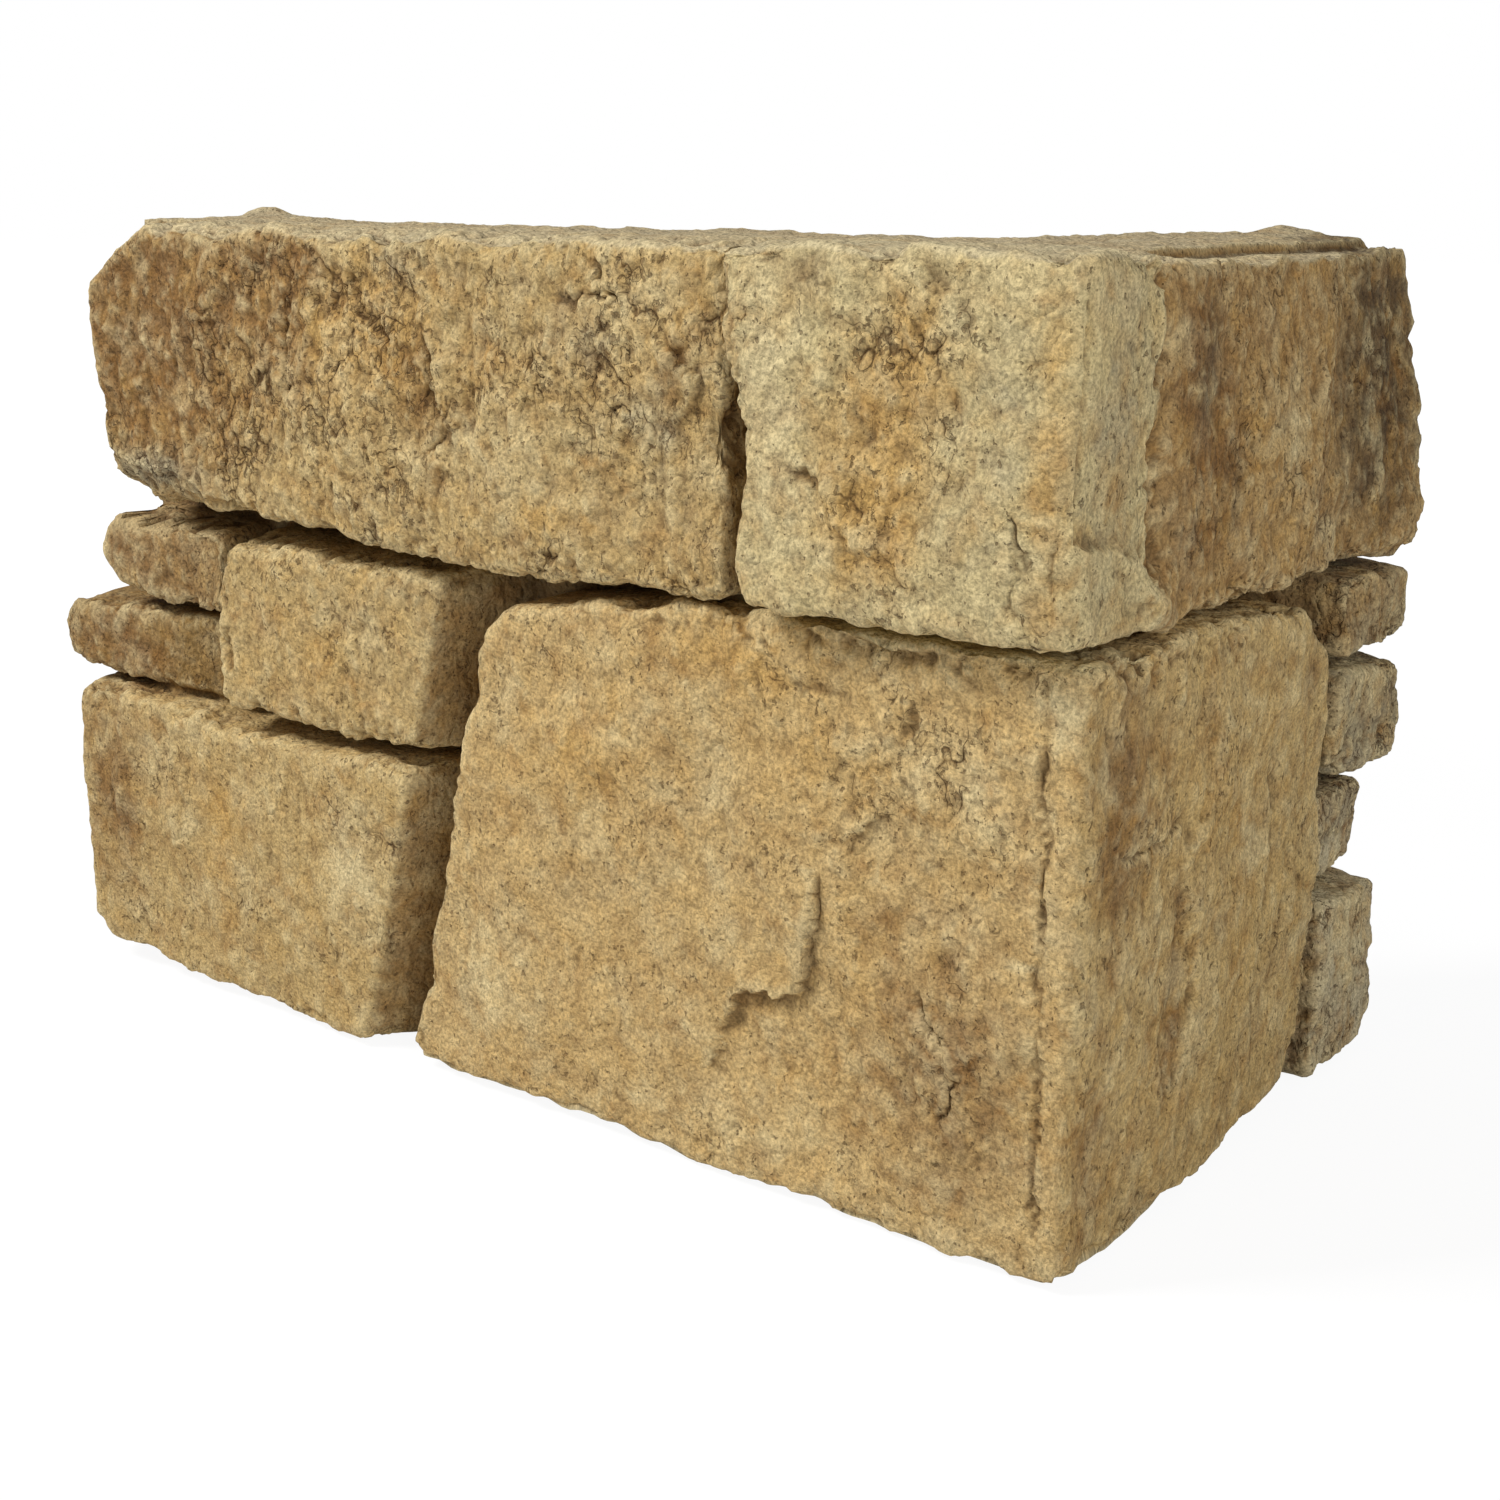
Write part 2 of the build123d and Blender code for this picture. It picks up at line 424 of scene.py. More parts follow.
CARVING: tuple[Flake | Crease | Swell | Facet, ...] = (
    Crease(Face.FRONT, ((-133, 197), (-132, 193), (-128, 188), (-124, 183), (-120, 179), (-116, 176)),
           1.4, 1.1),
    Crease(Face.FRONT, ((-55, 200), (-55, 196), (-55, 191)), 1.2, 0.9),
    Crease(Face.FRONT, ((-69, 190), (-59, 191), (-52, 191), (-50, 188), (-47, 182), (-48, 176)), 1.4, 0.9),
    Flake(Face.FRONT, ((-39, 184), (-36, 180), (-30, 174), (-34, 169), (-41, 164)), -1.8, 9.0),
    Flake(Face.FRONT, ((-108, 196), (-109, 184), (-105, 175), (-103, 167), (-97, 154)), 1.6, 14.0),
    Crease(Face.FRONT, ((-152, 190), (-152, 185), (-153, 176), (-152, 167), (-149, 160)), 1.2, 1.2),
    Crease(Face.FRONT, ((-108, 154), (-105, 156), (-102, 159), (-104, 163)), 1.1, 0.9),
    Swell(Face.FRONT, (-185, 178), (16, 14), 2.0, 20.0),
    Swell(Face.FRONT, (-132, 168), (12, 22), 1.8, 10.0),
    Swell(Face.FRONT, (-78, 170), (16, 24), 2.2, -15.0),
    Facet(Face.FRONT, ((-232, 146), (-160, 134)), -8.0, 12.0, ((-240, 126), (-140, 160))),
    Flake(Face.FRONT, ((18, 205), (21, 201), (25, 197), (32, 194), (34, 190), (25, 184)), -1.4, 14.0, 3.5),
    Flake(Face.FRONT, ((2, 164), (4, 158), (8, 151), (15, 147), (26, 145)), 1.3, 10.0, 2.5),
    Crease(Face.FRONT, ((-8, 163), (-5, 162), (2, 160), (5, 158)), 0.8),
    Swell(Face.FRONT, (20, 172), (12, 26), -1.8, -12.0),
    Swell(Face.FRONT, (46, 160), (10, 26), 1.4, -5.0),
    Flake(Face.FRONT, ((-6, 86), (-7, 82), (-1, 76), (-3, 66), (-3, 54), (-7, 48), (-21, 45), (-27, 37),
                       (-25, 32), (-31, 22)), -2.4, 26.0, 1.1),
    Swell(Face.FRONT, (-24, 40), (5, 9), -1.0, 60.0),
    Crease(Face.FRONT, ((22, 61), (24, 56), (30, 49), (34, 40), (32, 32), (27, 26)), 1.3, 0.8),
    Crease(Face.FRONT, ((-17, 119), (-17, 115), (-18, 107)), 0.6, 0.8),
    Crease(Face.FRONT, ((-9, 115), (-6, 115), (5, 117), (9, 117)), 0.6, 0.8),
    Crease(Face.FRONT, ((19, 119), (22, 113), (17, 104)), 0.8, 0.8),
    Crease(Face.FRONT, ((51, 140), (51, 109), (52, 73), (53, 41), (54, -12)), 0.8, 0.7),
    Swell(Face.FRONT, (-60, 92), (30, 16), 1.6, 35.0),
    Swell(Face.FRONT, (-84, 40), (22, 26), 1.5, 0.0),
    Swell(Face.FRONT, (20, 84), (26, 12), -1.6, -30.0),
    Swell(Face.FRONT, (-30, 104), (9, 28), -1.2, -8.0),
    Swell(Face.FRONT, (14, 30), (16, 24), -1.4, 15.0),
    Facet(Face.SIDE, ((31, 134), (50, 202)), -2.5, 14.0, ((20, 128), (115, 206))),
    Swell(Face.SIDE, (40, 168), (7, 34), 1.8, -18.0),
    Swell(Face.SIDE, (-32, 137), (9, 6), 3.0, -20.0),
    Flake(Face.SIDE, ((-70, 152), (-51, 151), (-38, 146), (-26, 139)), -1.8, 14.0),
    Flake(Face.SIDE, ((-8, 124), (-2, 100), (-10, 78), (-4, 50), (-12, 22)), 1.8, 18.0, 6.0),
    Flake(Face.SIDE, ((36, 118), (31, 92), (34, 66), (29, 40), (32, 12)), -1.8, 18.0, 6.0),
    Swell(Face.SIDE, (14, 168), (14, 26), 1.8, 10.0),
    Crease(Face.SIDE, ((-46, 92), (-36, 88), (-24, 87), (-10, 91)), 0.7, 0.9),
    Crease(Face.SIDE, ((-13, 76), (-11, 58), (-15, 40), (-12, 20)), 0.6, 1.4),
    Crease(Face.FRONT, ((48, 160), (49, 150), (48, 141), (51, 133)), 0.8, 0.7),
    Crease(Face.FRONT, ((55, 158), (54, 148), (56, 138)), 0.7, 0.7),
)

STAINS: tuple[Patch, ...] = (
    Patch(Face.FRONT, Pigment.COARSE, (-135, 172), (45, 34), 0.3),
    Patch(Face.FRONT, Pigment.COARSE, (-45, 180), (22, 20), 0.25),
    Patch(Face.FRONT, Pigment.COARSE, (-60, 146), (40, 12), -0.15),
    Patch(Face.FRONT, Pigment.COARSE, (18, 172), (16, 34), 0.4),
    Patch(Face.FRONT, Pigment.COARSE, (22, 105), (30, 18), 0.3),
    Patch(Face.FRONT, Pigment.COARSE, (34, 40), (14, 34), 0.35),
    Patch(Face.FRONT, Pigment.BROWN, (-190, 190), (45, 18), 0.6),
    Patch(Face.FRONT, Pigment.BROWN, (-205, 168), (44, 36), 1.05),
    Patch(Face.FRONT, Pigment.BROWN, (-152, 178), (10, 20), 0.6),
    Patch(Face.FRONT, Pigment.BROWN, (-150, 196), (20, 8), 0.7),
    Patch(Face.FRONT, Pigment.BROWN, (-110, 168), (9, 20), 0.8, 12.0),
    Patch(Face.FRONT, Pigment.BROWN, (-36, 176), (6, 9), 0.8, -30.0),
    Patch(Face.FRONT, Pigment.OCHRE, (-200, 166), (44, 34), 1.0),
    Patch(Face.FRONT, Pigment.OCHRE, (-126, 182), (30, 20), 1.0),
    Patch(Face.FRONT, Pigment.OCHRE, (-40, 184), (14, 14), 0.6),
    Patch(Face.FRONT, Pigment.OCHRE, (-70, 144), (40, 10), 0.5),
    Patch(Face.FRONT, Pigment.PALE, (-80, 156), (44, 16), 0.5),
    Patch(Face.FRONT, Pigment.PALE, (-44, 192), (20, 9), 0.5),
    Patch(Face.FRONT, Pigment.GREY, (-116, 197), (10, 7), 0.65),
    Patch(Face.FRONT, Pigment.GREY, (-64, 183), (15, 16), 0.45),
    Patch(Face.FRONT, Pigment.GREY, (-42, 167), (10, 14), 0.6, -30.0),
    Patch(Face.FRONT, Pigment.GREY, (-210, 141), (30, 8), 0.9),
    Patch(Face.FRONT, Pigment.OCHRE, (18, 172), (15, 32), 1.1, -15.0),
    Patch(Face.FRONT, Pigment.OCHRE, (18, 148), (14, 12), 0.7),
    Patch(Face.FRONT, Pigment.BROWN, (1, 197), (8, 7), 0.6),
    Patch(Face.FRONT, Pigment.PALE, (-8, 176), (10, 34), 0.8),
    Patch(Face.FRONT, Pigment.GREY, (44, 168), (9, 34), 0.45),
    Patch(Face.FRONT, Pigment.BROWN, (-225, 116), (30, 12), 0.7),
    Patch(Face.FRONT, Pigment.BROWN, (-240, 92), (26, 12), 0.9),
    Patch(Face.FRONT, Pigment.OCHRE, (-150, 104), (36, 16), 0.5),
    Patch(Face.FRONT, Pigment.BROWN, (-238, 52), (20, 38), 0.8),
    Patch(Face.FRONT, Pigment.OCHRE, (-192, 48), (12, 30), 0.7),
    Patch(Face.FRONT, Pigment.PALE, (-142, 48), (16, 22), 0.7),
    Patch(Face.FRONT, Pigment.OCHRE, (-64, 86), (26, 22), 0.6),
    Patch(Face.FRONT, Pigment.OCHRE, (-20, 122), (24, 12), 0.9),
    Patch(Face.FRONT, Pigment.OCHRE, (2, 100), (26, 14), 0.5),
    Patch(Face.FRONT, Pigment.OCHRE, (10, 54), (10, 16), 0.7),
    Patch(Face.FRONT, Pigment.BROWN, (30, 40), (22, 38), 0.85),
    Patch(Face.FRONT, Pigment.BROWN, (14, 76), (16, 12), 0.3),
    Patch(Face.FRONT, Pigment.PALE, (-96, 34), (22, 22), 0.6),
    Patch(Face.FRONT, Pigment.PALE, (-28, 92), (7, 26), 0.5),
    Patch(Face.FRONT, Pigment.PALE, (-20, 14), (40, 9), 0.5),
    Patch(Face.FRONT, Pigment.PALE, (54, 120), (8, 8), 0.9),
    Patch(Face.FRONT, Pigment.PALE, (48, 68), (6, 1.2), 1.3),
    Patch(Face.FRONT, Pigment.PALE, (26, 104), (28, 18), 0.5),
    Patch(Face.FRONT, Pigment.OCHRE, (54, 166), (5, 34), 0.8),
    Patch(Face.SIDE, Pigment.GREY, (-50, 168), (12, 44), 0.6),
    Patch(Face.SIDE, Pigment.OCHRE, (10, 158), (28, 28), 0.6),
    Patch(Face.SIDE, Pigment.BROWN, (-18, 184), (13, 20), 1.1),
    Patch(Face.SIDE, Pigment.BROWN, (-6, 162), (12, 20), 1.1),
    Patch(Face.SIDE, Pigment.BROWN, (-18, 146), (8, 9), 0.7),
    Patch(Face.SIDE, Pigment.PALE, (28, 162), (11, 30), 0.6, -15.0),
    Patch(Face.SIDE, Pigment.BROWN, (84, 166), (26, 44), 0.6, -15.0),
    # Dark umber: partly painted shade on the far end of the top right stone; the two small patches near its
    # left end are a stain.
    Patch(Face.SIDE, Pigment.UMBER_AND_SHADE, (84, 176), (36, 48), 1.1, -15.0),
    Patch(Face.SIDE, Pigment.UMBER_AND_SHADE, (-14, 182), (8, 16), 0.7),
    Patch(Face.SIDE, Pigment.UMBER_AND_SHADE, (0, 156), (8, 16), 0.6),
    Patch(Face.SIDE, Pigment.BROWN, (-40, 98), (16, 38), 0.95),
    Patch(Face.SIDE, Pigment.BROWN, (-46, 24), (11, 24), 0.8),
    Patch(Face.SIDE, Pigment.OCHRE, (0, 92), (40, 26), 0.5),
    Patch(Face.SIDE, Pigment.OCHRE, (20, 50), (12, 24), 0.5),
    Patch(Face.SIDE, Pigment.BROWN, (-12, 52), (6, 34), 0.9),
    Patch(Face.SIDE, Pigment.BROWN, (50, 110), (5, 12), 0.7),
    Patch(Face.SIDE, Pigment.PALE, (25, 75), (15, 15), 0.6),
    Patch(Face.SIDE, Pigment.PALE, (86, 102), (16, 7), 0.8),
    Patch(Face.SIDE, Pigment.PALE, (86, 38), (18, 24), 0.8),
)


@dataclass(frozen=True)
class Lump:
    """A lump of spilt cement on the top, placed by x and y."""

    centre: Point
    radius: float
    rise: float

    def height(self, points: np.ndarray) -> np.ndarray:
        """Height that the lump adds at points of the top."""
        away = np.hypot(points[:, 0] - self.centre[0], points[:, 1] - self.centre[1])
        return self.rise * np.exp(-((away / self.radius) ** 2))


LUMPS: tuple[Lump, ...] = (
    Lump((-222, -5), 6.0, 2.6),
    Lump((-212, -6), 16.0, 0.9),
    Lump((24, 98), 7.0, 2.4),
    Lump((-60, -4), 9.0, 0.8),
)


class Wiring:
    """A node tree with short ways to add and join its nodes."""

    def __init__(self, tree: bpy.types.NodeTree) -> None:
        """Keep the tree and empty it."""
        self.tree = tree
        self.tree.nodes.clear()

    def node(self, kind: str, **settings: object) -> bpy.types.Node:
        """Add a node.

        Args:
            kind: Blender's name of the node.
            settings: Properties to set on it.

        Returns:
            The new node.
        """
        made = self.tree.nodes.new(kind)
        for name, value in settings.items():
            setattr(made, name, value)
        return made

    def feed(self, socket: bpy.types.NodeSocket, value: object) -> None:
        """Join an output to a socket, or set the socket's own value.

        Args:
            socket: Input to fill.
            value: Output or plain value.
        """
        if isinstance(value, bpy.types.NodeSocket):
            self.tree.links.new(value, socket)
        else:
            socket.default_value = value

    def math(self, operation: str, first: object, second: object = 0.0) -> bpy.types.NodeSocket:
        """Add a sum of one or two numbers.

        Args:
            operation: Blender's name of the sum.
            first: First number or output.
            second: Second number or output.

        Returns:
            The result's output.
        """
        made = self.node("ShaderNodeMath", operation=operation)
        self.feed(made.inputs[0], first)
        self.feed(made.inputs[1], second)
        return made.outputs[0]

    def vector(self, operation: str, first: object, second: object) -> bpy.types.NodeSocket:
        """Add a sum of two vectors.

        Args:
            operation: Blender's name of the sum.
            first: First vector or output.
            second: Second vector or output.

        Returns:
            The result's vector output, or its number for a dot product.
        """
        made = self.node("ShaderNodeVectorMath", operation=operation)
        self.feed(made.inputs[0], first)
        self.feed(made.inputs[1], second)
        return made.outputs["Value" if operation == "DOT_PRODUCT" else "Vector"]

    def scaled(self, vector: object, amount: object) -> bpy.types.NodeSocket:
        """A vector times a number.

        Args:
            vector: Vector or output.
            amount: Number or output.

        Returns:
            The longer or shorter vector's output.
        """
        made = self.node("ShaderNodeVectorMath", operation="SCALE")
        self.feed(made.inputs[0], vector)
        self.feed(made.inputs["Scale"], amount)
        return made.outputs["Vector"]

    def ramp(self, value: object, low: float, high: float, start: float, end: float) -> bpy.types.NodeSocket:
        """Ease a value from one range to another.

        Args:
            value: Number or output to ease.
            low: Value at which the result is start.
            high: Value at which the result is end.
            start: First result.
            end: Last result.

        Returns:
            The result's output.
        """
        made = self.node("ShaderNodeMapRange", interpolation_type="SMOOTHSTEP")
        for socket, item in zip(made.inputs, (value, low, high, start, end)):
            self.feed(socket, item)
        return made.outputs[0]

    def noise(self, place: object, size: object, seed: float, detail: float = 3.0, rough: float = 0.55,
              twist: float = 0.0) -> bpy.types.NodeSocket:
        """Add cloudy noise.

        Args:
            place: Output with the place in metres.
            size: Size of the clouds in metres, as a number or output.
            seed: Which noise it is.
            detail: Number of finer layers.
            rough: Weight of the finer layers.
            twist: How far the clouds are pulled about.

        Returns:
            The noise's output, around 0.5.
        """
        made = self.node("ShaderNodeTexNoise", noise_dimensions="3D")
        self.feed(made.inputs["Vector"], self.vector("ADD", place, (0.37 * seed, 0.53 * seed, 0.71 * seed)))
        scale = 1.0 / size if isinstance(size, float) else self.math("DIVIDE", 1.0, size)
        self.feed(made.inputs["Scale"], scale)
        self.feed(made.inputs["Detail"], detail)
        self.feed(made.inputs["Roughness"], rough)
        self.feed(made.inputs["Distortion"], twist)
        return made.outputs[0]

    def blend(self, amount: object, first: object, second: object) -> bpy.types.NodeSocket:
        """Mix two colours.

        Args:
            amount: Share of the second, as a number or output.
            first: First colour or output.
            second: Second colour or output.

        Returns:
            The mixed colour's output.
        """
        made = self.node("ShaderNodeMix", data_type="RGBA", blend_type="MIX")
        self.feed(made.inputs[0], amount)
        self.feed(made.inputs[6], first)
        self.feed(made.inputs[7], second)
        return made.outputs[2]


Reader = Callable[[Wiring, str, str], bpy.types.NodeSocket]


class Fade(NamedTuple):
    """Two bounds of a value, and the levels that it is eased between."""

    low: float
    high: float
    start: float
    end: float


@dataclass(frozen=True)
class Cloud:
    """Mottling in one shade: the size of its clouds in metres, which clouds they are and how strong."""

    shade: Colour
    size: float
    seed: float
    most: float


@dataclass(frozen=True)
class CastStone:
    """The casting's finish: stained concrete with an open grain, and painted shade and highlight on its
    relief.
    """

    ochre: Colour = linear(188, 150, 86)
    rust: Colour = linear(150, 109, 56)
    brown: Colour = linear(116, 81, 42)
    grey: Colour = linear(160, 151, 124)
    pale: Colour = linear(214, 196, 149)
    # Dark umber stain, also used as painted shade on the far end of the top right stone.
    soot: Colour = linear(66, 52, 35)
    # Dark brown laid in cracks, pores and hollows: partly dirt, partly painted shade.
    crevice_dirt_and_shade: Colour = linear(84, 58, 28)
    loose_size: float = 9.0 * MM
    stain_sway: float = 1.8
    umber_and_shade_sway: float = 1.2
    stain_fade: Fade = Fade(0.15, 1.0, 0.0, 0.9)
    cloud_low: float = 0.48
    cloud_high: float = 0.64
    vein_size: float = 24.0 * MM
    vein_fade: Fade = Fade(0.035, 0.0, 0.0, 0.55)
    vein_break: Fade = Fade(-0.12, 0.12, 0.1, 1.0)
    crowd_rust: Fade = Fade(0.5, 1.5, 0.0, 0.18)
    # Darker in the hollows, partly dirt and partly painted shade; paler on the rises, partly wear and partly
    # painted highlight.
    hollow_dirt_and_shade: Fade = Fade(0.04, 0.5, 0.0, 0.7)
    rise_wear_and_highlight: Fade = Fade(-0.04, -0.4, 0.0, 0.4)
    # Cracks darkened: partly dirt, partly painted shade.
    crack_dirt_and_shade: float = 0.75
    crack_sink: float = 0.4
    pore_size: float = 1.4 * MM
    pore_level: float = 0.32
    pore_crowd: float = 0.13
    pore_fade: Fade = Fade(0.0, 0.07, 0.0, 1.0)
    # Pores darkened: partly dirt, partly painted shade.
    pore_dirt_and_shade: float = 0.55
    pore_sink: float = 0.4
    sand_size: float = 0.8 * MM
    # Sand grain varies the tone, darker in its low spots as painted shade.
    sand_tone_and_pit_shade: Fade = Fade(0.2, 0.8, 0.58, 1.45)
    sand_rise: float = 0.35
    crumb_rise: float = 3.0
    roughness: float = 0.92
    gloss: float = 0.25

    @property
    def stains(self) -> tuple[tuple[Pigment, Colour, float], ...]:
        """Each stain's shade, and how far loose clouds sway its edge."""
        return (
            (Pigment.OCHRE, self.ochre, self.stain_sway),
            (Pigment.PALE, self.pale, -self.stain_sway),
            (Pigment.BROWN, self.brown, self.stain_sway),
            (Pigment.GREY, self.grey, -self.stain_sway),
            # Dark umber: a stain, and painted shade on the far end of the top right stone.
            (Pigment.UMBER_AND_SHADE, self.soot, self.umber_and_shade_sway),
        )

    @property
    def clouds(self) -> tuple[Cloud, ...]:
        """Mottling of the whole casting."""
        return (
            Cloud(self.pale, 11.0 * MM, 3.0, 0.45),
            Cloud(self.ochre, 9.0 * MM, 5.0, 0.4),
            Cloud(self.grey, 20.0 * MM, 9.0, 0.14),
            Cloud(self.brown, 6.0 * MM, 7.0, 0.35),
        )

    def stain(self, w: Wiring, read: Reader, crowd: object, hollow: object) -> bpy.types.NodeSocket:
        """Colour the casting: stains, mottling, veins, dirt and painted shade in its hollows, wear and painted
        highlight on its rises.

        Args:
            w: Wiring of the tree that colours the mesh.
            read: Reads one of the mesh's attributes in that tree.
            crowd: Output that says how thickly the cracks lie.
            hollow: Output with the depth of the hollows in millimetres.

        Returns:
            The colour's output.
        """
        place = read(w, "rest", "FLOAT_VECTOR")
        colour = read(w, "tone", "FLOAT_COLOR")
        weathered = read(w, Mask.WEATHERED.value, "FLOAT")
        loose = w.math("SUBTRACT", w.noise(place, self.loose_size, 11.0, 5.0, 0.7, 0.6), 0.5)
        for pigment, shade, sway in self.stains:
            amount = w.math("ADD", read(w, pigment.value, "FLOAT"), w.math("MULTIPLY", loose, sway))
            colour = w.blend(w.ramp(amount, *self.stain_fade), colour, (*shade, 1.0))
        for cloud in self.clouds:
            noise = w.noise(place, cloud.size, cloud.seed, 5.0, 0.75, 0.4)
            amount = w.ramp(noise, self.cloud_low, self.cloud_high, 0.0, cloud.most)
            colour = w.blend(w.math("MULTIPLY", amount, weathered), colour, (*cloud.shade, 1.0))
        vein = w.math("SUBTRACT", w.noise(place, self.vein_size, 13.0, 5.0, 0.6, 0.3), 0.5)
        vein = w.ramp(w.math("ABSOLUTE", vein), *self.vein_fade)
        vein = w.math("MULTIPLY", vein, w.ramp(loose, *self.vein_break))
        colour = w.blend(w.math("MULTIPLY", vein, weathered), colour, (*self.rust, 1.0))
        colour = w.blend(w.ramp(crowd, *self.crowd_rust), colour, (*self.rust, 1.0))
        # Painted shade and dirt in the hollows, painted highlight and wear on the rises.
        colour = w.blend(w.ramp(hollow, *self.hollow_dirt_and_shade), colour, (*self.crevice_dirt_and_shade, 1.0))
        return w.blend(w.ramp(hollow, *self.rise_wear_and_highlight), colour, (*self.pale, 1.0))

    def material(self, relief: "Relief") -> bpy.types.Material:
        """Make the finish: the stained colour with cracks, pores and sand in it, darkened in its cracks, pores
        and low sand as partly dirt and partly painted shade.

        Args:
            relief: Relief whose cracks are darkened, partly as dirt and partly as painted shade.

        Returns:
            The new material.
        """
        made = bpy.data.materials.new("cast_stone")
        made.use_nodes = True
        w = Wiring(made.node_tree)
        place = self.attribute(w, "rest", "Vector")
        crowd = self.attribute(w, "crowd", "Fac")
        colour = self.attribute(w, "tone", "Color")
        lumps = relief.lumps(w, place, relief.lump_size, relief.seed + 3.0)
        crumbs = relief.lumps(w, place, relief.crumb_size, relief.seed + 7.0)
        cracks = relief.cracks(w, lumps, crumbs, crowd)
        pores = self.pores(w, relief.tall(w, place), crowd)
        sand = w.noise(place, self.sand_size, 29.0, 2.0, 0.75)
        # Cracks and pores darkened: partly dirt, partly painted shade.
        colour = w.blend(w.math("MULTIPLY", cracks, self.crack_dirt_and_shade), colour, (*self.crevice_dirt_and_shade, 1.0))
        colour = w.blend(w.math("MULTIPLY", pores, self.pore_dirt_and_shade), colour, (*self.crevice_dirt_and_shade, 1.0))
        # Sand varies the tone, darker in its low spots as painted shade.
        tint = w.node("ShaderNodeHueSaturation")
        w.feed(tint.inputs["Value"], w.ramp(sand, *self.sand_tone_and_pit_shade))
        w.feed(tint.inputs["Color"], colour)
        sunk_cracks = w.math("MULTIPLY", cracks, self.crack_sink)
        sunk = w.math("ADD", sunk_cracks, w.math("MULTIPLY", pores, self.pore_sink))
        raised_sand = w.math("MULTIPLY", sand, self.sand_rise)
        raised = w.math("ADD", raised_sand, w.math("MULTIPLY", crumbs, self.crumb_rise))
        bump = w.node("ShaderNodeBump")
        w.feed(bump.inputs["Strength"], 1.0)
        w.feed(bump.inputs["Distance"], MM)
        w.feed(bump.inputs["Height"], w.math("SUBTRACT", raised, sunk))
        shader = w.node("ShaderNodeBsdfPrincipled")
        w.feed(shader.inputs["Base Color"], tint.outputs[0])
        w.feed(shader.inputs["Roughness"], self.roughness)
        w.feed(shader.inputs["Specular IOR Level"], self.gloss)
        w.feed(shader.inputs["Normal"], bump.outputs[0])
        w.feed(w.node("ShaderNodeOutputMaterial").inputs[0], shader.outputs[0])
        return made

    def pores(self, w: Wiring, place: object, crowd: object) -> bpy.types.NodeSocket:
        """Small open pores.

        Args:
            w: Wiring of the finish.
            place: Output with the place in metres.
            crowd: Output that says how thickly they lie.

        Returns:
            The output, 1 in the pores and 0 between them.
        """
        cloud = w.noise(place, self.pore_size, 41.0, 2.0, 0.65)
        level = w.math("ADD", self.pore_level, w.math("MULTIPLY", crowd, self.pore_crowd))
        return w.ramp(w.math("SUBTRACT", level, cloud), *self.pore_fade)

    @staticmethod
    def attribute(w: Wiring, name: str, output: str) -> bpy.types.NodeSocket:
        """Read one of the mesh's attributes."""
        return w.node("ShaderNodeAttribute", attribute_name=name).outputs[output]


